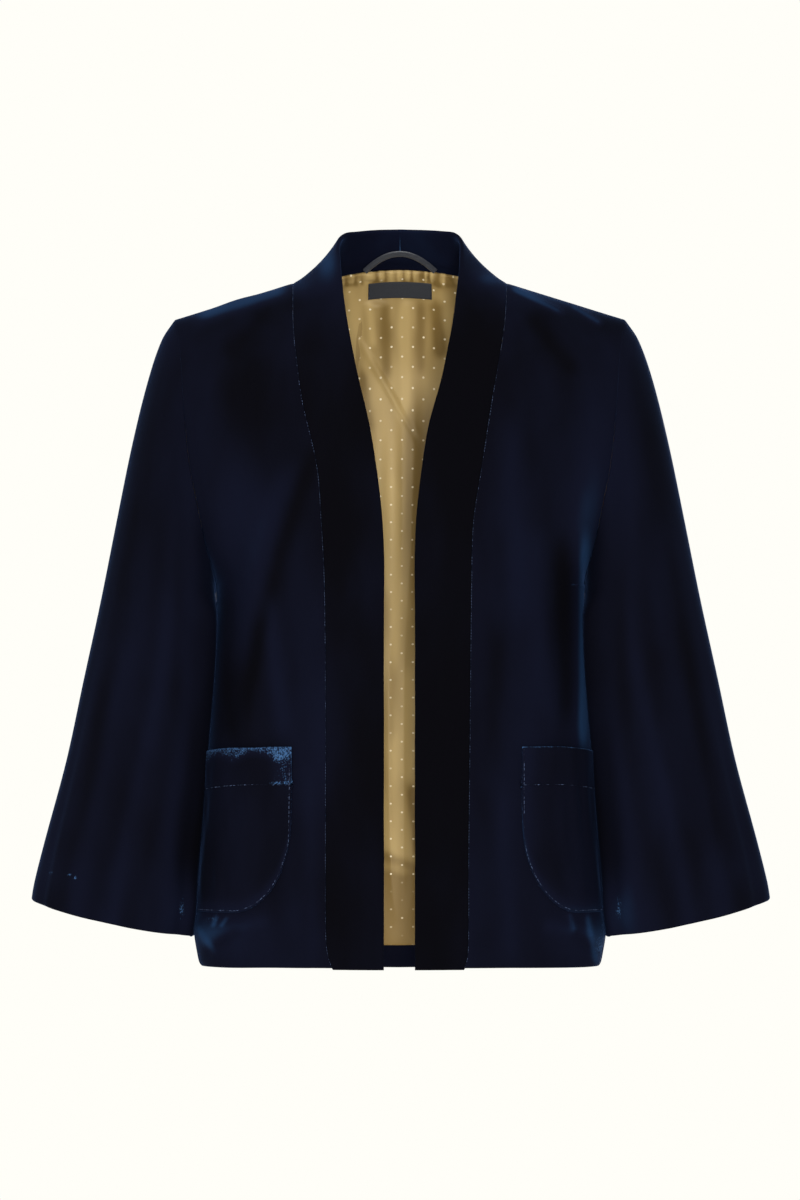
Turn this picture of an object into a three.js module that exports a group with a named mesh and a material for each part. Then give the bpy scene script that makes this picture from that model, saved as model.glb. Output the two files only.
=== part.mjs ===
// Open-front velvet jacket with a standing collar band, wide three-quarter sleeves,
// two patch pockets and a lined back, in the hollow shape that it has when it is worn.
// Millimetres, +Z up. The front faces -Y. Left is -X and right is +X, as seen from the front.
// The origin lies midway between the two points where the shoulder seams meet the collar band.
import * as THREE from 'three';

// Cloth thicknesses and the gap left at every seam
const VELVET = 2;
const BAND_WALL = 4;
const LINING_WALL = 1;
const TURNED_HEM = 1.5;
const TURNED_HEM_HEIGHT = 20;
const SEAM_GAP = 0.3;

// Neck and shoulders
const NECK_HALF_WIDTH = 93;
const NECK_DEPTH = 68;
const NECK_RISE = 15;
const SHOULDER_HALF_WIDTH = 196;
const SHOULDER_SLOPE = 0.31;
const SHOULDER_Y = 8;
const SHOULDER_ROUND = 95;

// Armholes: an oval from the shoulder tip down to the armpit
const ARMPIT_Z = -262;
const ARMHOLE_ROUND = 90;
const ARMHOLE_FRONT = 62;
const ARMHOLE_BACK = 66;
const CALM_HEIGHT = 70;

// Squareness of a level section of the body: 2 is an ellipse, more is squarer
const SECTION_POWER = 2.3;

// How finely the cloth is divided
const HEM_ROWS = 1;
const SIDE_ROWS = 9;
const ARMHOLE_ROWS = 4;
const CHEST_ROWS = 2;
const SHOULDER_ROWS = 5;
const FRONT_COLUMNS = 8;
const NECK_COLUMNS = 4;
const BAND_COLUMNS = 4;
const SLEEVE_RINGS = 14;
const ARC_STEPS = 40;

const ARMPIT_ROW = HEM_ROWS + SIDE_ROWS;
const TOP_ROW = ARMPIT_ROW + ARMHOLE_ROWS + CHEST_ROWS + SHOULDER_ROWS;
const HALF_BACK_COLUMNS = NECK_COLUMNS + FRONT_COLUMNS;

// Distance from the centre to the side seam by height and, above the armpit, to the armhole seam
const BODY_WIDTH = [
  { z: -600, x: 173 },
  { z: -580, x: 177 },
  { z: -565, x: 179 },
  { z: -545, x: 177 },
  { z: -509, x: 174 },
  { z: -453, x: 170 },
  { z: -400, x: 167 },
  { z: -337, x: 163 },
  { z: -262, x: 160 },
  { z: -228, x: 168 },
  { z: -184, x: 177 },
  { z: -158, x: 182 },
  { z: -109, x: 187 },
  { z: -65, x: 190 },
  { z: -45, x: 193 },
  { z: -31.93, x: 196 },
  { z: 20, x: 197 },
];

// Depth of the body in front of the side seams and behind them, on the centre line
const BODY_DEPTH = [
  { z: -600, front: 101, back: 99 },
  { z: -480, front: 101, back: 95 },
  { z: -400, front: 103, back: 92 },
  { z: -300, front: 110, back: 96 },
  { z: -210, front: 115, back: 104 },
  { z: -150, front: 113, back: 106 },
  { z: -95, front: 105, back: 104 },
  { z: -40, front: 93, back: 98 },
  { z: 20, front: 80, back: 92 },
];

// Height of the hem by distance from the centre
const HEM = [
  { x: 0, front: -592.5, back: -599 },
  { x: 90, front: -592.5, back: -598 },
  { x: 176, front: -594, back: -594 },
];

// Seam that joins the collar band to each front, by height
const BAND_SEAM = [
  { z: -600, left: 61.5, right: 58 },
  { z: -500, left: 64, right: 59 },
  { z: -360, left: 64, right: 60.5 },
  { z: -260, left: 65, right: 61.5 },
  { z: -210, left: 67.5, right: 63 },
  { z: -160, left: 71.5, right: 70.5 },
  { z: -105, left: 84, right: 79 },
  { z: -65, left: 89.5, right: 86 },
  { z: -39, left: 92, right: 90 },
  { z: 0, left: 93, right: 93 },
];

// Free edge of the band on the chest, by height, up to where the band leaves the chest
const BAND_EDGE = [
  { z: -600, left: 14, right: 13, y: -104 },
  { z: -400, left: 14, right: 13, y: -107 },
  { z: -300, left: 14, right: 13, y: -113 },
  { z: -224, left: 14, right: 13, y: -117 },
  { z: -189, left: 17, right: 15.5, y: -117 },
  { z: -154, left: 21.5, right: 20, y: -116 },
  { z: -119, left: 27.5, right: 26, y: -113 },
  { z: -84, left: 34.5, right: 33, y: -107 },
];

// The band hangs this much below the fronts, and its free edge is this much above its seam
// where it slants most
const BAND_DROP = 1.5;
const BAND_TILT = 8;
const BAND_TILT_FROM = -260;

// Free edge of the band where it stands up round the neck, a row for each seam station from
// the start of the shoulder's curve to the centre back. camber bends the band across its width.
const COLLAR_EDGE = [
  { x: 34, y: -107, z: -87, camber: 0 },
  { x: 40, y: -96, z: -57, camber: -1 },
  { x: 45.5, y: -79, z: -28, camber: -2 },
  { x: 50, y: -53, z: 1, camber: -3.5 },
  { x: 53, y: -25, z: 23, camber: -5 },
  { x: 52.5, y: 3, z: 37, camber: -5 },
  { x: 46.5, y: 23, z: 43.5, camber: -4 },
  { x: 36, y: 37, z: 46.5, camber: -2 },
  { x: 19, y: 46.5, z: 48.5, camber: -1 },
  { x: 0, y: 50, z: 49, camber: -1 },
];

// Sleeve: the outer line from the shoulder tip to the cuff
const SLEEVE_OUTER = [
  { share: 0, x: 196.5, z: -32 },
  { share: 0.04, x: 208, z: -49.5 },
  { share: 0.11, x: 220, z: -84 },
  { share: 0.21, x: 233, z: -137 },
  { share: 0.35, x: 247, z: -206 },
  { share: 0.49, x: 261, z: -276 },
  { share: 0.63, x: 276, z: -345 },
  { share: 0.77, x: 291, z: -415 },
  { share: 0.91, x: 310, z: -485 },
  { share: 0.975, x: 318.5, z: -519 },
  { share: 1, x: 320.5, z: -533 },
];

// Sleeve: its underarm line, and its depth in front of and behind its own middle
const SLEEVE_INNER = [
  { share: 0, x: 160, z: -262, middle: 0, front: 62, back: 66 },
  { share: 0.3, x: 157, z: -352, middle: 3, front: 65, back: 66 },
  { share: 0.6, x: 161, z: -444, middle: 6, front: 63, back: 63 },
  { share: 1, x: 173, z: -564, middle: 8, front: 62, back: 62 },
];
const SLEEVE_CLEAR = 3;
const CUFF_BOW = 4;
const CAP_BLEND = 0.35;
const RING_SPREAD = 1.3;

// Largest folds of the fronts and the back, as soft ridges or troughs from one end to the other
const BODY_FOLDS = [
  { face: 'front', x0: -116, z0: -300, x1: -129, z1: -405, width: 13, height: 4 },
  { face: 'front', x0: -150, z0: -120, x1: -138, z1: -330, width: 14, height: -3 },
  { face: 'front', x0: 125, z0: -20, x1: 158, z1: -75, width: 11, height: 3 },
  { face: 'front', x0: 152, z0: -190, x1: 154, z1: -410, width: 11, height: 3 },
  { face: 'back', x0: -70, z0: -190, x1: -88, z1: -570, width: 20, height: 5 },
  { face: 'back', x0: 64, z0: -210, x1: 82, z1: -560, width: 18, height: 5 },
  { face: 'back', x0: 4, z0: -300, x1: -6, z1: -580, width: 22, height: -4 },
];

// Share of a panel's width over which its folds fade out at its seams
const FOLD_FADE = 0.15;

// Largest folds of a sleeve: where they lie round it, 0 at the underarm, 90 at the front
const SLEEVE_FOLDS = [
  { angle: 62, from: 0.35, width: 16, height: 4 },
  { angle: 118, from: 0.25, width: 18, height: 4 },
  { angle: 92, from: 0.45, width: 12, height: -3 },
  { angle: 245, from: 0.3, width: 18, height: 5 },
  { angle: 295, from: 0.4, width: 16, height: 4 },
];

// Patch pockets: outline on a front, x from the centre and heights from the origin
const POCKET_INNER_X = { left: 93.5, right: 105 };
const POCKET_TOP = { inner: -402, outer: -408 };
const POCKET_BOTTOM = -546;
const POCKET_CORNER = { inner: { across: 52, down: 80 }, outer: { across: 14, down: 18 } };
const POCKET_OUTER_COLUMN = FRONT_COLUMNS - 0.25;
const POCKET_ROWS = 7;
const POCKET_LIFT = 0.4;

// Hanging loop at the centre back: half an oval of ribbon that leans forward as it rises
const LOOP = { halfWidth: 31, rise: 15, footY: 65.2, footZ: 12, lean: 0.82, ribbon: 5, thick: 1.2 };
const LOOP_STEPS = 16;

// Bare label on the lining below the neck seam
const LABEL = { halfWidth: 28.5, top: 3.8, bottom: -10.2, thick: 0.8, lift: 1.7, columns: 6 };

const FACES = {
  front: { name: 'front', sign: -1, armhole: ARMHOLE_FRONT },
  back: { name: 'back', sign: 1, armhole: ARMHOLE_BACK },
};
const SIDES = { left: -1, right: 1 };

// A smooth value between the rows of a table, as a cubic through them
function along(table, key, at, column) {
  const last = table.length - 1;
  if (at <= table[0][key]) return table[0][column];
  if (at >= table[last][key]) return table[last][column];
  let i = 0;
  while (table[i + 1][key] < at) i += 1;
  const slope = (j) => {
    const a = table[Math.max(j - 1, 0)];
    const b = table[Math.min(j + 1, last)];
    return (b[column] - a[column]) / (b[key] - a[key]);
  };
  const span = table[i + 1][key] - table[i][key];
  const t = (at - table[i][key]) / span;
  const start = table[i][column];
  const end = table[i + 1][column];
  const bend = 1 - t;
  return (
    start * (1 + 2 * t) * bend * bend +
    end * (3 - 2 * t) * t * t +
    span * t * bend * (slope(i) * bend - slope(i + 1) * t)
  );
}

const mix = (a, b, t) => a + (b - a) * t;
const clamp01 = (t) => Math.min(1, Math.max(0, t));
const smooth = (t) => clamp01(t) ** 2 * (3 - 2 * clamp01(t));
const roundOff = (t) => Math.sqrt(Math.max(0, 1 - (1 - clamp01(t)) ** 2));
const superArc = (r) => Math.max(0, 1 - r ** SECTION_POWER) ** (1 / SECTION_POWER);

// Height and depth of the line where a face ends: the shoulder seam or the back neckline
function topHeight(face, x) {
  const out = Math.abs(x) - NECK_HALF_WIDTH;
  if (out >= 0) return -SHOULDER_SLOPE * out;
  return face.name === 'back' ? NECK_RISE * (1 - (x / NECK_HALF_WIDTH) ** 2) : 0;
}

function topDepth(face, x) {
  const inside = 1 - (x / NECK_HALF_WIDTH) ** 2;
  if (face.name === 'front' || inside <= 0) return SHOULDER_Y;
  return SHOULDER_Y + NECK_DEPTH * Math.sqrt(inside);
}

// How far round the oval of its section a face reaches at a height: 1 down to the armpit
function reachOf(face, z) {
  const armhole = face.armhole * roundOff((z - ARMPIT_Z) / ARMHOLE_ROUND);
  return superArc(z <= ARMPIT_Z ? 0 : armhole / along(BODY_DEPTH, 'z', z, face.name));
}

// The same for the middle of a face, which changes slowly with height round the armpit
function calmReach(face, z) {
  const full = superArc(face.armhole / along(BODY_DEPTH, 'z', z, face.name));
  return mix(1, full, smooth((z - ARMPIT_Z + CALM_HEIGHT) / (ARMHOLE_ROUND + CALM_HEIGHT)));
}

// Depth of the cloth at a place on the body. The section is an oval that passes through the
// side or armhole seam, and near the shoulder it curves over to the seam on top.
function clothY(face, x, z) {
  const depth = along(BODY_DEPTH, 'z', z, face.name);
  const across = Math.min(1, Math.abs(x) / along(BODY_WIDTH, 'z', z, 'x'));
  const reach = mix(calmReach(face, z), reachOf(face, z), across ** 4);
  const section = face.sign * depth * superArc(reach * across);
  const below = clamp01((topHeight(face, x) - z) / SHOULDER_ROUND);
  const lip = face.name === 'back' ? 1 - 0.5 * smooth(Math.abs(x) / NECK_HALF_WIDTH) : 0.5;
  return mix(topDepth(face, x), section, (1 - (1 - below) ** 2) ** lip);
}

// The x at a share of the cloth's length between x = from and the side or armhole seam
function acrossAt(face, z, from, share) {
  const reach = reachOf(face, z);
  const wide = along(BODY_WIDTH, 'z', z, 'x') / reach;
  const depth = along(BODY_DEPTH, 'z', z, face.name);
  const angleOf = (r) => Math.asin(Math.min(1, r) ** (SECTION_POWER / 2));
  const first = angleOf(from / wide);
  const points = [];
  for (let i = 0; i <= ARC_STEPS; i += 1) {
    const angle = mix(first, angleOf(reach), i / ARC_STEPS);
    const x = wide * Math.sin(angle) ** (2 / SECTION_POWER);
    const y = depth * Math.max(0, Math.cos(angle)) ** (2 / SECTION_POWER);
    points.push({ x, y, run: 0 });
  }
  for (let i = 1; i <= ARC_STEPS; i += 1) {
    const [a, b] = [points[i - 1], points[i]];
    b.run = a.run + Math.hypot(b.x - a.x, b.y - a.y);
  }
  const run = share * points[ARC_STEPS].run;
  let i = 1;
  while (i < ARC_STEPS && points[i].run < run) i += 1;
  const [a, b] = [points[i - 1], points[i]];
  return mix(a.x, b.x, (run - a.run) / (b.run - a.run));
}

// Height of a row of cloth on a column that ends at a hem height and a top height
function rowHeight(row, hem, top) {
  if (row === 0) return hem;
  if (row <= ARMPIT_ROW) {
    return mix(hem + TURNED_HEM_HEIGHT, ARMPIT_Z, (row - HEM_ROWS) / SIDE_ROWS);
  }
  const quarter = Math.PI / 2;
  const above = row - ARMPIT_ROW;
  if (above <= ARMHOLE_ROWS) {
    return ARMPIT_Z + ARMHOLE_ROUND * (1 - Math.cos((quarter * above) / ARMHOLE_ROWS));
  }
  const chest = above - ARMHOLE_ROWS;
  if (chest <= CHEST_ROWS) {
    return mix(ARMPIT_Z + ARMHOLE_ROUND, top - SHOULDER_ROUND, chest / CHEST_ROWS);
  }
  const left = 1 - (chest - CHEST_ROWS) / SHOULDER_ROWS;
  return top - SHOULDER_ROUND * (1 - Math.cos(quarter * left));
}

// How far a row has come from the even spacing of the body to that of the shoulder seam
const towardsTop = (row) => smooth((row - ARMPIT_ROW) / (TOP_ROW - ARMPIT_ROW));

// Height of the nearest fold at a place, fading out at its two ends
function foldAt(face, x, z) {
  let height = 0;
  for (const fold of BODY_FOLDS.filter((f) => f.face === face.name)) {
    const [dx, dz] = [fold.x1 - fold.x0, fold.z1 - fold.z0];
    const t = ((x - fold.x0) * dx + (z - fold.z0) * dz) / (dx * dx + dz * dz);
    const off = Math.hypot(x - mix(fold.x0, fold.x1, t), z - mix(fold.z0, fold.z1, t));
    const ends = smooth(t / 0.25 + 0.5) * smooth((1 - t) / 0.25 + 0.5);
    height += fold.height * ends * Math.exp(-((off / fold.width) ** 2));
  }
  return height;
}

// Unit normals of a grid of points, turned away from a point inside
function normalsOf(grid, wrapped, inside) {
  const rows = grid.length - 1;
  const columns = grid[0].length;
  const at = (c) => (wrapped ? (c + columns) % columns : Math.min(Math.max(c, 0), columns - 1));
  return grid.map((line, r) =>
    line.map((point, c) => {
      const alongColumn = new THREE.Vector3().subVectors(
        grid[Math.min(r + 1, rows)][c],
        grid[Math.max(r - 1, 0)][c],
      );
      const alongRow = new THREE.Vector3().subVectors(line[at(c + 1)], line[at(c - 1)]);
      const normal = alongRow.cross(alongColumn).normalize();
      const out = new THREE.Vector3().subVectors(point, inside(r));
      return normal.dot(out) < 0 ? normal.negate() : normal;
    }),
  );
}

// A copy of a grid, moved along its normals by a distance that may differ by row
function movedOut(grid, normals, distance) {
  return grid.map((line, r) =>
    line.map((point, c) => point.clone().addScaledVector(normals[r][c], distance(r))),
  );
}

// A closed wall between two grids of the same size. A wrapped one is a tube, open at its ends.
function wall(outer, inner, wrapped = false) {
  const rows = outer.length;
  const columns = outer[0].length;
  const positions = [];
  for (const grid of [outer, inner]) {
    for (const line of grid) line.forEach((point) => positions.push(point.x, point.y, point.z));
  }
  const faces = [];
  const index = (layer, r, c) => (layer * rows + r) * columns + (c % columns);
  const quad = (a, b, c, d) => faces.push(a, b, c, a, c, d);
  const cells = wrapped ? columns : columns - 1;
  for (let c = 0; c < cells; c += 1) {
    for (let r = 0; r < rows - 1; r += 1) {
      quad(index(0, r, c), index(0, r, c + 1), index(0, r + 1, c + 1), index(0, r + 1, c));
      quad(index(1, r, c), index(1, r + 1, c), index(1, r + 1, c + 1), index(1, r, c + 1));
    }
    quad(index(0, 0, c), index(1, 0, c), index(1, 0, c + 1), index(0, 0, c + 1));
    const end = rows - 1;
    quad(index(0, end, c), index(0, end, c + 1), index(1, end, c + 1), index(1, end, c));
  }
  if (!wrapped) {
    const end = columns - 1;
    for (let r = 0; r < rows - 1; r += 1) {
      quad(index(0, r, 0), index(0, r + 1, 0), index(1, r + 1, 0), index(1, r, 0));
      quad(index(0, r, end), index(1, r, end), index(1, r + 1, end), index(0, r + 1, end));
    }
  }
  return facingOut(positions, faces);
}

// A geometry whose faces all point out of the body that they close
function facingOut(positions, faces) {
  const corner = (i) => new THREE.Vector3().fromArray(positions, 3 * i);
  let volume = 0;
  for (let i = 0; i < faces.length; i += 3) {
    volume += corner(faces[i]).dot(corner(faces[i + 1]).cross(corner(faces[i + 2])));
  }
  const geometry = new THREE.BufferGeometry();
  geometry.setAttribute('position', new THREE.Float32BufferAttribute(positions, 3));
  geometry.setIndex(volume > 0 ? faces : faces.toReversed());
  geometry.computeVertexNormals();
  return geometry;
}

const BODY_MIDDLE = new THREE.Vector3(0, 0, -200);
const NECK_MIDDLE = new THREE.Vector3(0, 0, -60);

// Points of one front, from the band seam to the side and armhole seams, hem to shoulder
function frontPoints(side) {
  const sign = SIDES[side];
  const grid = [];
  for (let row = 0; row <= TOP_ROW; row += 1) {
    const line = [];
    for (let column = 0; column <= FRONT_COLUMNS; column += 1) {
      const share = column / FRONT_COLUMNS;
      const topX = mix(NECK_HALF_WIDTH, SHOULDER_HALF_WIDTH, share);
      const hem = along(HEM, 'x', mix(70, 176, share), 'front');
      const z = rowHeight(row, hem, topHeight(FACES.front, topX));
      const seam = along(BAND_SEAM, 'z', z, side);
      let x = mix(acrossAt(FACES.front, z, seam, share), topX, towardsTop(row));
      if (column === 0) x = seam;
      if (column === FRONT_COLUMNS) x = along(BODY_WIDTH, 'z', z, 'x');
      line.push(new THREE.Vector3(sign * x, clothY(FACES.front, x, z) - SEAM_GAP / 2, z));
    }
    grid.push(line);
  }
  return grid;
}

// Points of the back, from the left side seam to the right one, hem to shoulders and neck
function backPoints() {
  const grid = [];
  for (let row = 0; row <= TOP_ROW; row += 1) {
    const line = [];
    for (let column = -HALF_BACK_COLUMNS; column <= HALF_BACK_COLUMNS; column += 1) {
      const count = Math.abs(column);
      const share = count / HALF_BACK_COLUMNS;
      const round = Math.sin((Math.PI / 2) * Math.min(1, count / NECK_COLUMNS));
      const onShoulder = Math.max(0, count - NECK_COLUMNS) / FRONT_COLUMNS;
      const topX = count < NECK_COLUMNS ? NECK_HALF_WIDTH * round
        : mix(NECK_HALF_WIDTH, SHOULDER_HALF_WIDTH, onShoulder);
      const hem = along(HEM, 'x', share * 176, 'back');
      const z = rowHeight(row, hem, topHeight(FACES.back, topX));
      let x = mix(acrossAt(FACES.back, z, 0, share), topX, towardsTop(row));
      if (count === HALF_BACK_COLUMNS) x = along(BODY_WIDTH, 'z', z, 'x');
      const y = clothY(FACES.back, x, z) + SEAM_GAP / 2;
      line.push(new THREE.Vector3(Math.sign(column) * x, y, z));
    }
    grid.push(line);
  }
  return grid;
}

// Raises the folds of a panel, and gives its points and normals. At the side and shoulder seams
// the normals have no part along Y, so that the walls on both sides of a seam stay parallel.
function panelOf(face, grid) {
  const last = grid[0].length - 1;
  const flat = normalsOf(grid, false, () => BODY_MIDDLE);
  const points = grid.map((line, row) =>
    line.map((point, column) => {
      const share = column / last;
      const sides = smooth(share / FOLD_FADE) * smooth((1 - share) / FOLD_FADE);
      const height = foldAt(face, point.x, point.z) * sides * smooth((TOP_ROW - row) / 3);
      return point.clone().addScaledVector(flat[row][column], height);
    }),
  );
  const normals = normalsOf(points, false, () => BODY_MIDDLE);
  const sideSeams = face.name === 'back' ? [0, last] : [last];
  normals.forEach((line, row) =>
    line.forEach((normal, column) => {
      const onSide = row <= ARMPIT_ROW && sideSeams.includes(column);
      const onShoulder = row === TOP_ROW && Math.abs(points[row][column].x) >= NECK_HALF_WIDTH;
      if (onSide || onShoulder) normal.setY(0).normalize();
    }),
  );
  return { points, normals };
}

// Share of its last row of cloth by which the lining stops short of the neck and shoulders
const LINING_SHORT = 0.1;

const panelWall = (row) => VELVET + (row <= HEM_ROWS ? TURNED_HEM : 0);

function panelGeometry(panel) {
  return wall(panel.points, movedOut(panel.points, panel.normals, (row) => -panelWall(row)));
}

// The lining lies inside the back, from the top of the turned hem up to the shoulders and neck
function liningGeometry(back) {
  const points = back.points.slice(HEM_ROWS).map((line) => [...line]);
  const normals = back.normals.slice(HEM_ROWS);
  const below = points.at(-2);
  points.push(points.pop().map((point, column) => point.clone().lerp(below[column], LINING_SHORT)));
  const last = points.length - 1;
  const inside = (row) => panelWall(row + HEM_ROWS) + SEAM_GAP * (row === last ? 2 : 1);
  return wall(
    movedOut(points, normals, (row) => -inside(row)),
    movedOut(points, normals, (row) => -inside(row) - LINING_WALL),
  );
}

// Stations of one half of the collar band: a point and normal on its seam, the matching point
// on its free edge, and the bend between them, from the hem up to the centre back
function bandStations(side, front, back) {
  const sign = SIDES[side];
  const stations = [];
  const collarRow = TOP_ROW - SHOULDER_ROWS;
  for (let row = 0; row < collarRow; row += 1) {
    const seam = front.points[row][0];
    const slant = (seam.z - BAND_TILT_FROM) / (COLLAR_EDGE[0].z - BAND_TILT_FROM);
    const z = seam.z + BAND_TILT * smooth(slant);
    const x = sign * along(BAND_EDGE, 'z', z, side);
    const edge = new THREE.Vector3(x, along(BAND_EDGE, 'z', z, 'y'), z);
    stations.push({ seam, normal: front.normals[row][0], edge, camber: 0 });
  }
  COLLAR_EDGE.forEach((place, i) => {
    const onFront = i <= SHOULDER_ROWS;
    const column = HALF_BACK_COLUMNS + sign * (NECK_COLUMNS + SHOULDER_ROWS - i);
    const seam = onFront ? front.points[collarRow + i][0] : back.points[TOP_ROW][column];
    const normal = onFront ? front.normals[collarRow + i][0] : back.normals[TOP_ROW][column];
    const edge = new THREE.Vector3(sign * place.x, place.y, place.z);
    stations.push({ seam, normal, edge, camber: place.camber });
  });
  return stations;
}

// One half of the collar band, folded double, from its seam to its free edge
function bandGeometry(side, front, back) {
  const stations = bandStations(side, front, back);
  const rows = stations.length - 1;
  const share = (column) => column / BAND_COLUMNS;
  const flat = stations.map(({ seam, edge }, row) => {
    const start = edge.clone().sub(seam).setLength(SEAM_GAP).add(seam);
    const line = [];
    for (let column = 0; column <= BAND_COLUMNS; column += 1) {
      const point = start.clone().lerp(edge, share(column));
      if (row === 0) point.z -= BAND_DROP;
      if (row === rows) point.x += (SIDES[side] * SEAM_GAP) / 2;
      line.push(point);
    }
    return line;
  });
  const flatNormals = normalsOf(flat, false, () => NECK_MIDDLE);
  flatNormals[rows].forEach((normal) => normal.setX(0).normalize());
  const points = flat.map((line, row) =>
    line.map((point, column) => {
      const bend = 4 * share(column) * (1 - share(column)) * stations[row].camber;
      return point.clone().addScaledVector(flatNormals[row][column], bend);
    }),
  );
  const normals = normalsOf(points, false, () => NECK_MIDDLE);
  normals.forEach((line, row) => {
    line[0].copy(stations[row].normal);
    if (row === rows) line.forEach((normal) => normal.setX(0).normalize());
  });
  return wall(points, movedOut(points, normals, () => -BAND_WALL));
}

// Points of the armhole seam, from the armpit up the front, over the tip and down the back
function armholePoints(side, front, back) {
  const backEdge = side === 'left' ? 0 : 2 * HALF_BACK_COLUMNS;
  const ring = [];
  for (let row = ARMPIT_ROW; row <= TOP_ROW; row += 1) {
    ring.push(front.points[row][FRONT_COLUMNS].clone());
  }
  for (let row = TOP_ROW - 1; row > ARMPIT_ROW; row -= 1) {
    ring.push(back.points[row][backEdge].clone());
  }
  ring[0].y += SEAM_GAP / 2;
  ring[TOP_ROW - ARMPIT_ROW].y += SEAM_GAP / 2;
  return ring;
}

// A point of a sleeve's plain oval at a share of its length and an angle from the underarm,
// in front of the middle where the angle is below half a turn
function sleeveOval(share, angle) {
  const outer = new THREE.Vector2(
    along(SLEEVE_OUTER, 'share', share, 'x'),
    along(SLEEVE_OUTER, 'share', share, 'z'),
  );
  const inner = new THREE.Vector2(
    along(SLEEVE_INNER, 'share', share, 'x'),
    along(SLEEVE_INNER, 'share', share, 'z'),
  );
  const place = inner.lerp(outer, (1 - Math.cos(angle)) / 2);
  const depth = along(SLEEVE_INNER, 'share', share, angle < Math.PI ? 'front' : 'back');
  const y = along(SLEEVE_INNER, 'share', share, 'middle') - depth * Math.sin(angle);
  const bow = CUFF_BOW * share ** 2 * Math.sin(angle) ** 2;
  return new THREE.Vector3(place.x, y, place.y - bow);
}

// Least distance from the centre at which a sleeve passes the body's side
function clearOfBody(y, z) {
  const edge = along(BODY_WIDTH, 'z', z, 'x');
  if (z >= ARMPIT_Z) return edge + SLEEVE_CLEAR / 3;
  const depth = along(BODY_DEPTH, 'z', z, y < 0 ? 'front' : 'back');
  return edge * superArc(Math.min(1, Math.abs(y) / depth)) + SLEEVE_CLEAR;
}

function sleeveFoldAt(share, angle) {
  let height = 0;
  for (const fold of SLEEVE_FOLDS) {
    const off = (THREE.MathUtils.radToDeg(angle) - fold.angle) / fold.width;
    height += fold.height * smooth((share - fold.from) / (1 - fold.from)) * Math.exp(-off * off);
  }
  return height;
}

// A sleeve: rings from the armhole seam, through the rounded cap, to the wide cuff
function sleeveGeometry(side, front, back) {
  const sign = SIDES[side];
  const seam = armholePoints(side, front, back);
  const tip = seam[TOP_ROW - ARMPIT_ROW];
  const across = Math.abs(tip.x - seam[0].x);
  const away = new THREE.Vector3(sign * (tip.z - seam[0].z), 0, -across).normalize();
  const angleOf = (i) => (2 * Math.PI * i) / seam.length;
  const mirrored = (point) => point.setX(sign * point.x);
  const middleOf = (ring) =>
    ring.reduce((sum, point) => sum.add(point), new THREE.Vector3()).divideScalar(ring.length);
  const rings = [seam.map((point) => point.clone().addScaledVector(away, SEAM_GAP))];
  for (let r = 1; r <= SLEEVE_RINGS; r += 1) {
    const share = (r / SLEEVE_RINGS) ** RING_SPREAD;
    const cap = 1 - smooth(share / CAP_BLEND);
    const plain = seam.map((point, i) => {
      const offset = mirrored(sleeveOval(0, angleOf(i))).sub(point).multiplyScalar(-cap);
      return mirrored(sleeveOval(share, angleOf(i))).add(offset);
    });
    const middle = middleOf(plain);
    rings.push(plain.map((point, i) => {
      const out = point.clone().sub(middle).normalize();
      const placed = point.clone().addScaledVector(out, sleeveFoldAt(share, angleOf(i)));
      const least = clearOfBody(placed.y, placed.z);
      return placed.setX(sign * Math.max(Math.abs(placed.x), least));
    }));
  }
  const middles = rings.map(middleOf);
  const normals = normalsOf(rings, true, (r) => middles[r]);
  normals[0].forEach((normal, i) => {
    const inward = middles[0].clone().sub(rings[0][i]);
    normal.copy(inward.addScaledVector(away, -inward.dot(away)).normalize().negate());
  });
  return wall(rings, movedOut(rings, normals, () => -VELVET), true);
}

// A place on a panel, by column and height, with its normal
function placeOn(panel, column, z) {
  const c = Math.min(Math.floor(column), panel.points[0].length - 2);
  const between = (grid, row) => grid[row][c].clone().lerp(grid[row][c + 1], column - c);
  let row = 0;
  while (row < ARMPIT_ROW && between(panel.points, row + 1).z < z) row += 1;
  const [low, high] = [between(panel.points, row), between(panel.points, row + 1)];
  const t = (z - low.z) / (high.z - low.z);
  return {
    point: low.lerp(high, t),
    normal: between(panel.normals, row).lerp(between(panel.normals, row + 1), t).normalize(),
  };
}

// Columns of a pocket: close together at its round corner, then on the panel's own columns,
// so that the pocket bends where the front does
function pocketColumns(front, innerX) {
  const middle = (POCKET_TOP.inner + POCKET_BOTTOM) / 2;
  let first = 0;
  while (Math.abs(placeOn(front, first, middle).point.x) < innerX) first += 0.01;
  const columns = [first, first + 0.08, first + 0.22];
  for (let column = Math.ceil(2 * first + 0.6) / 2; column < POCKET_OUTER_COLUMN; column += 0.5) {
    columns.push(column);
  }
  return [...columns, POCKET_OUTER_COLUMN];
}

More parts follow.
